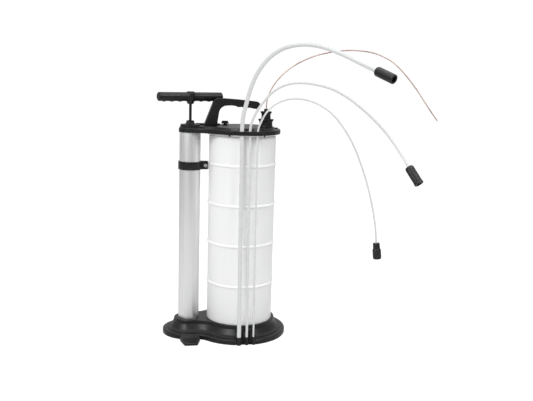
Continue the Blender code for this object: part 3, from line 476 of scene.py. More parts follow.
def cylinder(name, radius, low, high, steps=48, place=None):
    outline = arc((0, 0), radius, 0, 360 - 360 / steps, steps - 1)
    return slab(name, outline, low, high, None, place)


def block(name, low, high):
    (x0, y0, z0), (x1, y1, z1) = low, high
    return slab(name, [(x0, y0), (x1, y0), (x1, y1), (x0, y1)], z0, z1)


def settle(obj):
    """Applies an object's modifiers to its mesh."""
    bpy.context.view_layer.update()
    depsgraph = bpy.context.evaluated_depsgraph_get()
    obj.data = bpy.data.meshes.new_from_object(obj.evaluated_get(depsgraph))
    obj.modifiers.clear()
    return obj


def combine(obj, others, operation="DIFFERENCE"):
    """Cuts or joins whole solids, and removes the solids that were used up."""
    for other in others:
        modifier = obj.modifiers.new("combine", "BOOLEAN")
        modifier.operation = operation
        modifier.solver = "EXACT"
        modifier.object = other
        settle(obj)
        bpy.data.objects.remove(other, do_unlink=True)
    return obj


def round_edges(obj, width, segments, angle):
    modifier = obj.modifiers.new("round", "BEVEL")
    modifier.width = width
    modifier.segments = segments
    modifier.limit_method = "ANGLE"
    modifier.angle_limit = math.radians(angle)
    return shade(settle(obj), 40)


def finish_piece(obj, node):
    """A piece takes its CAD node's place and body."""
    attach(obj, BODY[node])
    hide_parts(node)
    return obj


def turned_piece(name, node, profile, look, steps, closed, place, swell=None):
    """A whole piece made by turning a profile."""
    return finish_piece(lathe(name, profile, look, steps, closed, place, swell), node)


def smooth_path(points, samples):
    """Evenly spaced points on a smooth curve through the route's points."""
    route = [Vector(p) for p in points]
    ends = [2 * route[0] - route[1]] + route + [2 * route[-1] - route[-2]]
    dense = []
    substeps = 24
    for a, b, c, d in zip(ends, ends[1:], ends[2:], ends[3:]):
        for i in range(substeps):
            t = i / substeps
            dense.append(0.5 * ((2 * b) + (c - a) * t + (2 * a - 5 * b + 4 * c - d) * t ** 2
                                + (3 * b - a - 3 * c + d) * t ** 3))
    dense.append(route[-1])
    travelled = [0.0]
    for p, q in zip(dense, dense[1:]):
        travelled.append(travelled[-1] + (q - p).length)
    even = []
    index = 0
    for i in range(samples):
        target = travelled[-1] * i / (samples - 1)
        while index < len(dense) - 2 and travelled[index + 1] < target:
            index += 1
        share = (target - travelled[index]) / (travelled[index + 1] - travelled[index])
        even.append(dense[index].lerp(dense[index + 1], share))
    return even


def sweep(name, path, outer, inner, material, sides=20):
    """A hollow tube along a path, with a thin rounded wall at both ends."""
    vertices, faces = [], []
    tangents = [(b - a).normalized() for a, b in zip(path, path[1:])]
    between = [(a + b).normalized() for a, b in zip(tangents, tangents[1:])]
    tangents = [tangents[0]] + between + [tangents[-1]]
    side = tangents[0].orthogonal().normalized()
    frames = []
    for point, tangent in zip(path, tangents):
        side = (side - tangent * side.dot(tangent)).normalized()
        frames.append((point, side, tangent.cross(side)))
    for radius, row in ((outer, frames), (inner, frames[::-1])):
        for point, u, v in row:
            for k in range(sides):
                angle = 2 * math.pi * k / sides
                vertices.append(point + (u * math.cos(angle) + v * math.sin(angle)) * radius)
    rings = 2 * len(path)
    for level in range(rings):
        low, high = level * sides, (level + 1) % rings * sides
        for k in range(sides):
            j = (k + 1) % sides
            faces.append((low + k, low + j, high + j, high + k))
    return shade(mesh_object(name, vertices, faces, material))


def lobed_outline(tank_r, pump_r, waist_r):
    """Outline round both axes, counter-clockwise, with a concave arc on each side between them."""
    tank_steps, pump_steps, waist_steps = 120, 48, 16
    to_tank = tank_r + waist_r
    to_pump = pump_r + waist_r
    waist_x = (to_pump ** 2 - to_tank ** 2 - AXIS_GAP ** 2) / (2 * AXIS_GAP)
    waist_y = math.sqrt(to_tank ** 2 - waist_x ** 2)
    beta = math.degrees(math.atan2(waist_y, waist_x))
    gamma = math.degrees(math.atan2(waist_y, waist_x + AXIS_GAP))
    outline = arc((0, 0), tank_r, -beta, beta, tank_steps)
    outline += arc((waist_x, waist_y), waist_r, beta + 180, gamma + 180, waist_steps)[1:-1]
    outline += arc((-AXIS_GAP, 0), pump_r, gamma, 360 - gamma, pump_steps)
    outline += arc((waist_x, -waist_y), waist_r, 180 - gamma, 180 - beta, waist_steps)[1:-1]
    return [(x + TANK[0], y + TANK[1]) for x, y in outline]


def base_rings(profile, grow=0.0):
    """The foot's outline at each (inset, height) of a profile."""
    rings = []
    for inset, height in profile:
        step = inset - grow
        outline = lobed_outline(BASE_TANK_R - step, BASE_PUMP_R - step, BASE_WAIST_R + step)
        rings.append([(x, y, height) for x, y in outline])
    return rings


# ---- cords


def make_hoses():
    """The three loose hoses run from their cups in the foot up through the lid to their connectors."""
    for size in HOSES:
        path = [p + Vector((*TANK, 0)) for p in smooth_path(ROUTES[size], samples=220)]
        piece = sweep(f"{size}_hose_tube", path, HOSE_R[size], HOSE_R[size] * HOSE_BORE, "hose_plastic")
        finish_piece(piece, f"{size}_hose")
        connector = make_connector(size, path)


def make_thin_tube():
    """The thin tube springs from the nipple on the turret in one high arc."""
    path = [p + Vector((*TANK, 0)) for p in smooth_path(ROUTES["thin"], samples=200)]
    radius = HOSE_R["thin"]
    piece = sweep("thin_copper_tube", path, radius, radius * THIN_BORE, "copper_tube", sides=14)
    finish_piece(piece, "thin_tube")


def flutes(count, depth, low, high):
    """Lengthwise grip ribs between two heights, on the outer skin only."""
    outer_skin = 0.0078

    def swell(angle, radius, height):
        if radius < outer_skin or not low < height < high:
            return 0
        return -depth * (0.5 - 0.5 * math.cos(count * angle)) ** 2
    return swell


# Each connector's profile from its hose end to its open end, and its grip ribs.
CONNECTORS = {
    "large": ([(0.0055, 0.0), (0.009, 0.0, 0.0008), (0.0104, 0.003, 0.002), (0.0104, 0.0462, 0.001),
               (0.01, 0.048, 0.0008), (0.0068, 0.048, 0.0005), (0.0064, 0.047, 0.0004), (0.0064, 0.022),
               (0, 0.022)], None),
    "medium": ([(0.0036, 0.0), (0.0086, 0.0, 0.0008), (0.0098, 0.003, 0.001), (0.01, 0.006, 0.001),
                (0.01, 0.0385, 0.001), (0.0104, 0.0405, 0.0006), (0.0104, 0.0445, 0.001),
                (0.0068, 0.0445, 0.0006), (0.0062, 0.0435, 0.0004), (0.0062, 0.02), (0, 0.02)],
               flutes(8, 0.0011, 0.004, 0.04)),
    "small": ([(0.0026, 0.0), (0.0076, 0.0, 0.0008), (0.0081, 0.002, 0.0006), (0.0083, 0.0135, 0.0006),
               (0.0096, 0.015, 0.001), (0.01, 0.017, 0.001), (0.01, 0.035, 0.001),
               (0.0092, 0.038, 0.0014), (0.0066, 0.038, 0.0006), (0.006, 0.037, 0.0004),
               (0.006, 0.02), (0, 0.02)], flutes(12, 0.0007, 0.018, 0.0345)),
}


def make_connector(size, path):
    """A black rubber connector that carries on in the direction of the hose's last stretch."""
    points, swell = CONNECTORS[size]
    end = Vector(ROUTES[size][-1])
    direction = (end - Vector(ROUTES[size][-2])).normalized()
    turn = direction.to_track_quat("Z", "Y").to_matrix().to_4x4()
    place = Matrix.Translation(path[-1] + direction * GAP) @ turn
    return turned_piece(f"{size}_hose_connector", f"{size}_connector", [(0, 0.0)] + soften(points), "rubber",
                        96, False, place, swell)


# ---- base

def make_base():
    """The two-lobed foot: a stepped rim and a flare up to the seats of the tank and the barrel."""
    skin = soften([(0.0004, 0.0), (0.0, 0.0006), (0.0, 0.01, 0.0022), (0.0034, 0.0121, 0.0014),
                   (0.0098, 0.0127, 0.0005), (0.0106, 0.015, 0.0008), (0.0128, 0.0163, 0.001),
                   (0.0146, 0.0152, 0.0008), (0.0186, 0.0172, 0.006), (0.0262, 0.03, 0.008),
                   (0.0278, 0.038, 0.0024), (0.0305, 0.038)], steps=6)
    base = loft("base_moulding", base_rings(skin), "black_plastic")
    tank_seat = cylinder("tank_seat", TANK_R + GAP, BASE_FLOOR, BASE_TOP + 0.01, 128, at(*TANK))
    barrel_seat = cylinder("barrel_seat", BARREL_R + GAP, BASE_FLOOR, BASE_TOP + 0.01, 96, at(*PUMP))
    combine(base, [tank_seat, barrel_seat, underside_hollow(), holder_notch("notch", GAP)])
    combine(base, [pedal()], "UNION")
    head_r, hole_r = 0.0056, 0.0024   # for the screw that holds the barrel's plug from below
    combine(base, [cylinder("screw_recess", head_r, -0.01, 0.005, 32, at(*PUMP)),
                   cylinder("screw_hole", hole_r, 0.0, 0.02, 24, at(*PUMP))])
    shade(base, 30)
    finish_piece(base, "base")


def underside_hollow():
    """The space under the shell, with the ribs left standing in it."""
    profile = [(0.0038, -0.001), (0.004, 0.007), (0.0212, 0.013), (0.0303, 0.033)]
    hollow = loft("hollow", base_rings(profile))
    floor = BASE_FLOOR - 0.0035
    ribs = [cylinder("tank_cup", TANK_R + GAP + 0.003, floor, BASE_TOP + 0.01, 96, at(*TANK)),
            cylinder("barrel_cup", BARREL_R + GAP + 0.003, floor, BASE_TOP + 0.01, 64, at(*PUMP)),
            cylinder("screw_boss", 0.009, -0.02, 0.08, 32, at(*PUMP)), holder_notch("notch_wall", 0.003)]
    half = 0.00125                    # half a rib's thickness
    for x in (TANK[0] - 0.03, TANK[0] + 0.03):
        ribs.append(block("rib_across", (x - half, -0.2, -0.03), (x + half, 0.2, 0.08)))
    ribs.append(block("rib_along", (-0.3, TANK[1] - half, -0.03), (0.3, TANK[1] + half, 0.08)))
    return combine(hollow, ribs)


def holder_notch(name, margin):
    """The space that the hose holder takes out of the foot's front edge."""
    low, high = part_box("hose_holder")
    back = TANK[1] - 0.0985
    return block(name, (low.x - margin, -0.25, -0.1), (high.x + margin, back + margin, 0.1))


def pedal():
    """The foot tread in front of the pump, with shallow grip ridges."""
    rings = []
    edge, slope = 0.0016, math.radians(11)
    for y, half, top in ((-0.057, 0.0245, 0.0112), (-0.07, 0.0235, 0.0104), (-0.076, 0.0225, 0.0095),
                         (-0.101, 0.0158, 0.0047), (-0.1035, 0.0148, 0.004), (-0.1042, 0.014, 0.0026)):
        outline = soften([(-half, 0.0), (half, 0.0), (half, top, edge), (-half, top, edge)], True, 4)
        rings.append([(PUMP[0] + x, PUMP[1] + y, z) for x, z in outline])
    tread = loft("tread", rings)
    ridges = []
    for i in range(4):
        y = -0.08 - 0.0058 * i
        half = 0.0185 - 0.0016 * i
        height = 0.0087 - 0.00112 * i
        ridge = block("ridge", (-half, -0.0011, 0.0), (half, 0.0011, 0.0012))
        ridge.data.transform(at(PUMP[0], PUMP[1] + y, height, Matrix.Rotation(slope, 4, "X")))
        ridges.append(ridge)
    return combine(tread, ridges, "UNION")


def side_slab(name, side, left, right):
    """A solid between two x positions, from its softened side view in (y, z)."""
    outline = [(TANK[1] + y, z) for y, z in soften(side, True, 4)]
    return loft(name, [[(x, y, z) for y, z in outline] for x in (left, right)], "black_plastic")


def make_hose_holder():
    """The block on the foot's front, with three hose cups between upright fins."""
    low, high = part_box("hose_holder")
    fin_half, cup_height = 0.0007, 0.02
    body = [(-0.08, 0.0), (-0.1085, 0.0), (-0.1085, 0.012, 0.002), (-0.101, 0.019, 0.004),
            (-0.095, 0.025, 0.004), (-0.0925, high.z, 0.001), (-0.08, high.z)]
    fin = [(-0.085, 0.0), (-0.1125, 0.0), (-0.1125, 0.019, 0.003), (-0.1085, high.z, 0.003),
           (-0.085, high.z)]
    holder = side_slab("hose_holder_moulding", body, low.x, high.x)
    added, bores = [], []
    for x in (-0.0041, 0.0126, 0.0236):
        added.append(side_slab("fin", fin, TANK[0] + x - fin_half, TANK[0] + x + fin_half))
    for size, cup_r in (("large", 0.0066), ("medium", 0.0048), ("small", 0.004)):
        place = at(TANK[0] + ROUTES[size][0][0], TANK[1] + HOSE_FOOT_Y)
        profile = soften([(0, 0.0), (cup_r, 0.0, 0.0022), (cup_r, cup_height, 0.0008),
                          (cup_r - 0.0016, cup_height), (0, cup_height)])
        added.append(lathe(f"{size}_cup", profile, steps=48, place=place))
        bores.append(cylinder(f"{size}_bore", HOSE_R[size] + 0.0005, 0.006 - GAP, 0.05, 40, place))
    combine(holder, added, "UNION")
    combine(holder, bores)
    profile = [(0.0, -0.01), (0.0, 0.01), (0.0034, 0.0121), (0.0098, 0.0127), (0.0106, 0.015),
               (0.0128, 0.0163), (0.0186, 0.0172), (0.0262, 0.03), (0.0278, 0.0375), (0.0305, 0.05)]
    back = loft("holder_back", base_rings(profile, GAP))
    combine(back, [holder_notch("notch_core", 0.0001)])
    combine(holder, [back])
    shade(holder, 35)
    finish_piece(holder, "hose_holder")


# ---- tank

def mould_seam(angle, radius, height):
    """The faint parting ridge of a blow moulding, on the two sides of the tank."""
    if radius < TANK_R - 0.004:
        return 0
    proud, spread = 0.00035, 0.022
    return proud * math.exp(-(math.sin(angle) / spread) ** 2)


def rim_place(sixth):
    """The place of one of the six screw holes round the tank's rim."""
    angle = math.pi * sixth / 3
    return TANK[0] + LID_SCREW_R * math.cos(angle), TANK[1] + LID_SCREW_R * math.sin(angle)


def make_tank():
    """The blow-moulded tank: ribs round the wall, a flange at the top and a lug for the clamp's bolt."""
    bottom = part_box("tank")[0].z
    neck = TANK_R - 0.0024
    points = [(0, bottom), (TANK_R, bottom, 0.003)]
    for height in reversed(TANK_RIBS):
        points += [(TANK_R, height - 0.0044, 0.001), (TANK_R + 0.0003, height - 0.003, 0.0006),
                   (TANK_R + 0.0024, height - 0.002, 0.001), (TANK_R + 0.0024, height + 0.0018, 0.0014),
                   (TANK_R, height + 0.0036, 0.0012)]
    points += [(TANK_R, 0.4865, 0.002), (neck, 0.4895, 0.001), (neck, TANK_TOP - 0.003, 0.0003),
               (TANK_RIM_R, TANK_TOP - 0.003, 0.0006), (TANK_RIM_R, TANK_TOP, 0.0006),
               (neck - TANK_WALL, TANK_TOP), (neck - TANK_WALL, 0.488), (TANK_R - TANK_WALL, 0.485, 0.001),
               (TANK_R - TANK_WALL, bottom + TANK_WALL, 0.003), (0, bottom + TANK_WALL)]
    tank = lathe("tank_shell", soften(points), "tank_plastic", 160, False, at(*TANK), mould_seam)
    half = 0.0085
    outline = soften([(0, -half), (0, half), (-0.0185, half, 0.006), (-0.0185, -half, 0.006)], True, 6)
    lug = slab("lug", outline, -0.0035, 0.0035)
    lug.data.transform(at(TANK[0] - 0.077, TANK[1], CLAMP_Z, ACROSS))
    combine(tank, [lug], "UNION")
    holes = [cylinder("lug_hole", CLAMP_HOLE_R, -0.01, 0.01, 24, at(CLAMP_BOLT_X, TANK[1], CLAMP_Z, ACROSS)),
             cylinder("inside", TANK_R - TANK_WALL - 0.0001, 0.38, 0.45, 160, at(*TANK))]
    holes += [cylinder("rim_hole", LID_HOLE_R, BELOW_LID, 0.52, 24, at(*rim_place(i))) for i in range(6)]
    combine(tank, holes)
    shade(tank, 40)
    finish_piece(tank, "tank")


# ---- lid

def lid_outline(inset):
    """The lid shrinks faster round the tank than round the pump, from the rim up to the raised middle."""
    pump_inset = min(inset, 0.0014 + 0.14 * inset)
    waist_r = LID_WAIST_RIM if inset < 0.008 else LID_WAIST_TOP
    return lobed_outline(LID_TANK_R - inset, LID_PUMP_R - pump_inset, waist_r + inset)


def make_lid():
    """The lid: a rim, a raised middle, the pump's disc, the hose guide and the screw pads."""
    skin = soften([(0.0014, LID_BOTTOM), (0.0, LID_BOTTOM, 0.001), (0.0, LID_RIM_TOP, 0.0022),
                   (0.006, LID_RIM_TOP)], steps=5)
    upper = soften([(0.012, LID_RIM_TOP), (0.0128, LID_RIM_TOP, 0.0006), (0.0146, LID_TOP, 0.0014),
                    (0.02, LID_TOP)], steps=5)
    rings = [[(x, y, z) for x, y in lid_outline(inset)] for inset, z in skin + upper]
    lid = loft("lid_moulding", rings, "black_plastic")
    disc = lathe("pump_disc", [(0, LID_RIM_TOP - 0.002)] + soften(
        [(0.0232, LID_RIM_TOP - 0.002), (0.0232, LID_DISC_TOP, 0.0014), (0, LID_DISC_TOP)]),
        steps=90, place=at(*PUMP))
    combine(lid, [disc, hose_guide(), air_housing()] + screw_bosses(), "UNION")
    combine(lid, lid_cuts())
    shade(lid, 30)
    finish_piece(lid, "lid")


def air_housing():
    """The raised housing of the air channel between the pump's end and the tank, with rounded edges."""
    foot, top = LID_TOP - 0.0045, LID_TOP + 0.0045
    middle, half = 0.0185, 0.006
    section = soften([(middle - half, foot), (middle - half, top, 0.0024), (middle + half, top, 0.0024),
                      (middle + half, foot)], steps=5)
    rings = []
    for x, squeeze in ((-0.112, 1.0), (-0.056, 1.0), (-0.0536, 0.93), (-0.0522, 0.75), (-0.052, 0.5)):
        rings.append([(TANK[0] + x, TANK[1] + middle + (y - middle) * squeeze, foot + (z - foot) * squeeze)
                      for y, z in section])
    return loft("air_housing", rings)


def hose_guide():
    """The lid's square nose, which the hoses pass through; it narrows slightly at top and bottom."""
    left, right, front = -0.0255, 0.0325, -0.0975
    outline = soften([(right + 0.012, -0.078), (right + 0.004, -0.085, 0.004), (right, front, 0.006),
                      (left, front, 0.006), (left - 0.004, -0.085, 0.004), (left - 0.012, -0.078)], True, 6)
    rings = []
    for inset, z in soften([(0.001, LID_BOTTOM + 0.0004), (0, LID_BOTTOM + 0.0014, 0.0005),
                            (0, LID_RIM_TOP - 0.0004, 0.0016), (0.0018, LID_RIM_TOP - 0.0004)]):
        rings.append([(x * (1 - inset / 0.03), y * (1 - inset / 0.09), z) for x, y in outline])
    return loft("guide", rings, place=at(*TANK))


def screw_places():
    """Places of the lid screws round the tank; the one towards the pump is the carry handle's own."""
    return [rim_place(sixth) for sixth in range(6) if sixth != 3]


def screw_bosses():
    """A low round pad under each lid screw."""
    foot, top = LID_RIM_TOP - 0.003, LID_RIM_TOP + 0.0003
    profile = [(0, foot)] + soften([(0.0052, foot), (0.0048, top, 0.0003), (0, top)], steps=3)
    return [lathe("boss", profile, steps=40, place=at(*place)) for place in screw_places()]


def lid_cuts():
    """What is cut out of the lid: the room over the tank, the pump's socket and air duct, and every hole."""
    room_r = TANK_RIM_R + 0.0004
    room = [(0, BELOW_LID), (room_r, BELOW_LID), (room_r, LID_CHANNEL), (0.0735, LID_CHANNEL),
            (0.0735, LID_CEILING), (0, LID_CEILING)]
    cuts = [lathe("room", room, steps=120, place=at(*TANK)),
            cylinder("barrel_socket", BARREL_R + GAP, BELOW_LID, LID_CEILING, 96, at(*PUMP)),
            block("duct", (PUMP[0] + 0.016, TANK[1] + 0.009, 0.503),
                  (TANK[0] - 0.07, TANK[1] + 0.017, 0.5062))]
    # Radius, sides and place: the rod's gland, the port, the vent, the carry handle's screws, and so on.
    holes = [(0.0085, 50, PUMP), (0.0085, 44, PORT), (0.0048, 36, VENT),
             (0.0022, 20, (TANK[0] - HANDLE_SCREW_RS[1], TANK[1])),
             (LID_HOLE_R, 20, (TANK[0] - HANDLE_SCREW_RS[0], TANK[1]))]
    holes += [(LID_HOLE_R, 20, place) for place in screw_places()]
    for size in HOSES:
        x = TANK[0] + ROUTES[size][GUIDE_POINT][0]
        holes.append((HOSE_R[size] + 0.0006, 40, (x, TANK[1] + HOSE_GUIDE_Y)))
    return cuts + [cylinder("hole", radius, BELOW_LID, ABOVE_LID, steps, at(*place))
                   for radius, steps, place in holes]


def make_lid_screws():
    """Domed screws with a crossed recess, each where its CAD node stands."""
    seat = LID_RIM_TOP + 0.0005
    head_r, shank_r = 0.0034, 0.0022
    head = [(0.0, 0.0026), (0.0012, 0.0026), (0.003, 0.002, 0.0008), (head_r, 0.001, 0.0006), (head_r, 0.0)]
    shank = [(shank_r, 0.0), (shank_r, -0.013, 0.0004), (0.0, -0.017)]
    for number in range(1, 6):
        place = axis_of(f"lid_screw_{number}")
        profile = [(r, seat + z) for r, z in soften(head + shank)]
        screw = lathe(f"lid_screw_head_{number}", profile, "black_plastic", 40, place=at(*place))
        slots = []
        for turn in (0.4, 0.4 + math.pi / 2):
            slot = block("slot", (-0.002, -0.00045, seat + 0.0011), (0.002, 0.00045, seat + 0.004))
            slot.data.transform(at(*place, 0, Matrix.Rotation(turn, 4, "Z")))
            slots.append(slot)
        combine(screw, slots)
        shade(screw, 40)
        finish_piece(screw, f"lid_screw_{number}")


def make_handle_screw():
    """The carry handle's screw at the lid's rim; its long head hangs below the tank's flange."""
    low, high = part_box("handle_screw_outer")
    seat = TANK_TOP - 0.003 - GAP
    profile = soften([(0, high.z), (0.0017, high.z - 0.001, 0.0004), (0.0017, seat), (0.0028, seat, 0.0003),
                      (0.0028, (seat + low.z) / 2, 0.0006), (0, low.z)])
    turned_piece("handle_screw_long", "handle_screw_outer", profile, "dark_steel", 32, False,
                 at(TANK[0] - HANDLE_SCREW_RS[0], TANK[1]))


# ---- carry handle

def make_carry_handle():
    """The carry handle's side view: a post on the lid, a grip with two finger scallops, and a round nose."""
    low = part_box("carry_handle")[0].z
    outline = [(-0.063, low), (-0.0616, 0.524)] + arc((-0.04, 0.5388), 0.0192, 176, 96, 12)
    outline += soften([(-0.038, 0.5583), (-0.03, 0.5586, 0.02), (-0.02, 0.5576, 0.02), (-0.014, 0.5552)],
                      steps=5)[1:]
    cusps = [(-0.0135, 0.5548), (0.005, 0.5534), (0.0235, 0.5519)]
    for (x, z), (next_x, next_z) in zip(cusps, cusps[1:]):
        outline.append((x, z))
        for k in range(1, 10):
            t = k / 10
            rise = 0.0011 * math.sin(math.pi * t) ** 0.8
            outline.append((x + (next_x - x) * t, z + (next_z - z) * t + rise))
    outline.append(cusps[-1])
    outline += arc((0.0305, 0.56), 0.009, -75, 82, 14)
    outline += soften([(0.025, 0.5692), (-0.01, 0.5728, 0.05), (-0.044, 0.5748)], steps=6)[1:]
    outline += arc((-0.059, 0.56), 0.0148, 94, 158, 10)
    outline += soften([(-0.0745, 0.564), (-0.0905, 0.519, 0.02), (-0.094, low + 0.001)], steps=6)[1:]
    outline.append((-0.094, low))
    half = 0.0235 / 2
    handle = slab("carry_handle_grip", outline, -half, half, "black_plastic")
    handle.data.transform(at(*TANK, 0, ACROSS))
    round_edges(handle, 0.0042, 5, 50)
    pilots = [cylinder("pilot", 0.0021, 0.5, 0.5245, 20, at(TANK[0] - r, TANK[1])) for r in HANDLE_SCREW_RS]
    combine(handle, pilots)
    shade(handle, 35)
    finish_piece(handle, "carry_handle")


# ---- pump

def make_barrel():
    low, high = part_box("pump_barrel")
    inner = BARREL_R - 0.0018
    profile = soften([(BARREL_R, high.z, 0.0004), (BARREL_R, low.z, 0.0004), (inner, low.z), (inner, high.z)],
                     True, 3)
    turned_piece("pump_barrel_tube", "pump_barrel", profile, "aluminium", 120, True, at(*PUMP))


def make_clamp():
    """The strap round the barrel, whose two ears are bolted to the tank's lug."""
    inner, outer, ear_in, ear_out = BARREL_R + GAP, 0.0278, 0.0038, 0.0062
    ear_end = CLAMP_BOLT_X - PUMP[0] + 0.006
    inner_angle = math.degrees(math.asin(ear_in / inner))
    outer_angle = math.degrees(math.asin(ear_out / outer))
    outline = arc((0, 0), outer, outer_angle + 6, 354 - outer_angle, 80)
    outline += [(outer + 0.0006, -ear_out - 0.0008), (ear_end, -ear_out), (ear_end, -ear_in)]
    outline += arc((0, 0), inner, 360 - inner_angle, inner_angle, 80)
    outline += [(ear_end, ear_in), (ear_end, ear_out), (outer + 0.0006, ear_out + 0.0008)]
    strap = slab("clamp_strap_band", outline, -CLAMP_HEIGHT / 2, CLAMP_HEIGHT / 2, "black_plastic",
                 at(PUMP[0], PUMP[1], CLAMP_Z))
    across = at(CLAMP_BOLT_X, TANK[1], CLAMP_Z, ACROSS)
    combine(strap, [cylinder("strap_hole", CLAMP_HOLE_R, -0.02, 0.02, 24, across)])
    round_edges(strap, 0.0005, 2, 45)
    finish_piece(strap, "clamp_strap")
    face = ear_out + GAP
    washer_r, thickness = 0.0043, 0.0008
    washer = soften([(washer_r, face + thickness, 0.0002), (washer_r, face, 0.0002), (CLAMP_HOLE_R, face),
                     (CLAMP_HOLE_R, face + thickness)], True, 3)
    turned_piece("clamp_washer_ring", "clamp_washer", washer, "steel", 48, True, across)
    head = face + thickness + GAP
    head_r, shank_r, shank_end = 0.0034, 0.002, -0.012
    bolt = soften([(0, head + 0.0012), (0.0016, head + 0.0012), (0.0018, head + 0.0024, 0.0003),
                   (head_r, head + 0.0024, 0.0008), (head_r, head, 0.0003), (shank_r, head),
                   (shank_r, shank_end, 0.0004), (0, shank_end)])
    turned_piece("clamp_bolt_head", "clamp_bolt", bolt, "steel", 48, False, across)


def make_rod_guide():
    """The gland that the rod slides through, with six flats round its collar."""
    seat = LID_DISC_TOP + GAP
    bore = 0.00365

    def hexed(angle, radius, height):
        if radius < 0.007 or height < seat + 0.002:
            return 0
        return -0.0007 * (0.5 - 0.5 * math.cos(6 * angle))

    points = [(0.0076, 0.5215, 0.0006), (0.0092, 0.5205, 0.0006), (0.0096, 0.5175, 0.001),
              (0.0104, 0.515, 0.001), (0.0118, seat + 0.0012, 0.0008), (0.0118, seat, 0.0003),
              (0.0082, seat), (0.0082, 0.501), (bore, 0.501), (bore, 0.5165), (0.0056, 0.5165),
              (0.0056, 0.52), (bore, 0.52), (bore, 0.5215)]
    turned_piece("rod_guide_bush", "rod_guide", soften(points, True), "black_plastic", 96, True, at(*PUMP),
                 hexed)


def make_rod():
    """The pump rod, with the collar that rests on the piston."""
    low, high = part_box("piston_rod")
    rod_r, collar_r = 0.00325, 0.0055
    points = [(0, high.z), (rod_r, high.z, 0.0005), (rod_r, 0.0865), (collar_r, 0.086, 0.0005),
              (collar_r, 0.0821), (rod_r, 0.0821), (rod_r, low.z, 0.0005), (0, low.z)]
    turned_piece("piston_rod_bar", "piston_rod", soften(points), "dark_steel", 48, False, at(*PUMP))


def bar_half(name, low, high):
    """One grip of the T-handle along local X: round, with small cusps between the fingers underneath."""
    stations, sides, pitch, proud = 130, 48, 0.021, 0.0018
    first_cusp, fade_end, fade_length = 0.0065, 0.0712, 0.0016
    rings = []
    for i in range(stations + 1):
        x = low + (high - low) * i / stations
        phase = (x - first_cusp) / pitch
        fade = min(max((fade_end - x) / fade_length, 0), 1)
        rise = proud * fade * (2 * (phase % 1) - 1) ** 2
        ring = []
        for k in range(sides):
            angle = 2 * math.pi * k / sides
            under = max(0.0, -math.sin(angle)) ** 1.2
            radius = BAR_R + rise * under
            ring.append((x, radius * math.cos(angle), radius * math.sin(angle)))
        rings.append(ring)
    return loft(name, rings, smooth_angle=50)


def make_t_handle():
    """The T-handle: a boss on the rod, two grips and an inset cap at each end."""
    turned = at(*PUMP, BAR_Z, Matrix.Rotation(BAR_TURN, 4, "Z"))
    body_end = BAR_HALF - BAR_CAP_LENGTH - GAP
    boss = soften([(0, 0.0125), (0.0085, 0.0123, 0.004), (0.0117, 0.0082, 0.004), (0.0125, 0.0015, 0.006),
                   (0.0118, -0.0055, 0.006), (0.0096, -0.0105, 0.003), (0.0084, -0.0135, 0.001),
                   (0.0068, -0.017, 0.0006), (0, -0.017)])
    hub = lathe("t_handle_grip", boss, "black_plastic", 72)
    right, left = bar_half("right", 0.0, body_end), bar_half("left", 0.0, body_end)
    left.data.transform(Matrix.Rotation(math.pi, 4, "Z"))
    combine(hub, [right, left], "UNION")
    combine(hub, [cylinder("rod_socket", 0.00355, -0.03, 0.0045, 32)])
    hub.data.transform(turned)
    shade(hub, 35)
    finish_piece(hub, "t_handle")
    cap_back, dish = BAR_HALF - BAR_CAP_LENGTH, BAR_HALF - 0.0008
    cap = soften([(0, dish), (0.0058, dish, 0.0004), (0.0064, BAR_HALF, 0.0004), (0.008, BAR_HALF, 0.0012),
                  (BAR_R, BAR_HALF - 0.0022, 0.0014), (BAR_R, cap_back), (0, cap_back)])
    for side, angle in (("right", math.pi / 2), ("left", -math.pi / 2)):
        turned_piece(f"bar_cap_{side}_end", f"bar_cap_{side}", cap, "black_plastic", 64, False,
                     turned @ Matrix.Rotation(angle, 4, "Y"))


# ---- lid fittings

def grip_notches(count, depth, low, high, least):
    """Small notches round a knob's rim, between two heights and beyond a least radius."""
    def swell(angle, radius, height):
        if radius < least or not low < height < high:
            return 0
        return -depth * max(0.0, math.cos(count * angle)) ** 4
    return swell


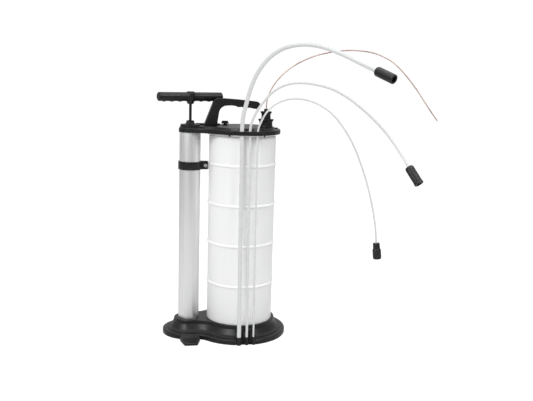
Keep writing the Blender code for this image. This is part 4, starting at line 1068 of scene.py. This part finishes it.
def make_port():
    """The inlet turret: a wide lower knob, a narrower upper one, and a rubber nipple for the thin tube."""
    seat = LID_TOP + GAP
    base = soften([(0.015, 0.5295), (0.0181, 0.5295, 0.0008), (0.0181, 0.5262, 0.0008),
                   (0.016, 0.5246, 0.0006), (0.0154, 0.5215, 0.002), (0.0156, 0.515, 0.003),
                   (0.0166, seat + 0.0012, 0.001), (0.0166, seat), (0.0082, seat), (0.0082, 0.502),
                   (0.004, 0.502), (0.004, 0.523), (0.008, 0.523), (0.008, 0.5295)], True)
    turned_piece("port_base_turret", "port_base", base, "black_plastic", 120, True, at(*PORT),
                 grip_notches(14, 0.001, 0.5258, 0.53, 0.017))
    adapter = soften([(0.0118, 0.5475, 0.0005), (0.0136, 0.5472, 0.0006), (0.0136, 0.5446, 0.0008),
                      (0.0112, 0.5425, 0.001), (0.0107, 0.538, 0.003), (0.011, 0.532, 0.002),
                      (0.011, 0.5298, 0.0005), (0.0077, 0.5298), (0.0077, 0.525), (0.002, 0.525),
                      (0.002, 0.535), (0.0054, 0.535), (0.0054, 0.5475)], True)
    turned_piece("hose_adapter_turret", "hose_adapter", adapter, "black_plastic", 120, True, at(*PORT),
                 grip_notches(12, 0.0009, 0.544, 0.548, 0.0125))
    nipple = soften([(0.003, 0.5534, 0.0004), (0.005, 0.5532, 0.0008), (0.0053, 0.548, 0.0004),
                     (0.0051, 0.5478), (0.0051, 0.536), (0.0012, 0.536), (0.0012, 0.5534)], True)
    turned_piece("tube_nipple_grommet", "tube_nipple", nipple, "rubber", 64, True, at(*PORT))


def make_vent_button():
    """A dished button with a skirt over its spring, on a stem."""
    profile = soften([(0, 0.5183), (0.0054, 0.5183, 0.0004), (0.006, 0.519, 0.0003), (0.0077, 0.519, 0.0008),
                      (0.0081, 0.5158, 0.0012), (0.0096, 0.5138, 0.0006), (0.0096, 0.5127, 0.0002),
                      (0.0061, 0.5127), (0.0061, 0.5165), (0.0025, 0.5165), (0.0025, 0.496), (0, 0.496)])
    turned_piece("vent_button_cap", "vent_button", profile, "black_plastic", 72, False, at(*VENT))


# ---- assembly

make_camera()
make_world()
make_floor()
area_light("left_box", (-1.3, -1.5, 2.0), 0.9, 34)
area_light("right_box", (1.2, -1.3, 2.0), 0.7, 21)
area_light("top_box", (0.1, 0.3, 2.4), 1.4, 13.5)

looks = {
    "black_plastic": black_plastic(),
    "tank_plastic": tank_plastic(),
    "aluminium": aluminium(),
    "steel": steel(),
    "dark_steel": dark_steel(),
    "rubber": rubber(),
    "seal_rubber": rubber("seal_rubber", 0.02),
    "acetal": acetal(),
    "hose_plastic": hose_plastic(),
    "copper_tube": copper_tube(),
}
for node, cad_object in frame["nodes"].items():
    cad_object.data.materials.clear()
    cad_object.data.materials.append(looks[SLOT[node]])

make_hoses()
make_thin_tube()
make_base()
make_hose_holder()
make_tank()
make_lid()
make_lid_screws()
make_handle_screw()
make_carry_handle()
make_barrel()
make_clamp()
make_rod_guide()
make_rod()
make_t_handle()
make_port()
make_vent_button()
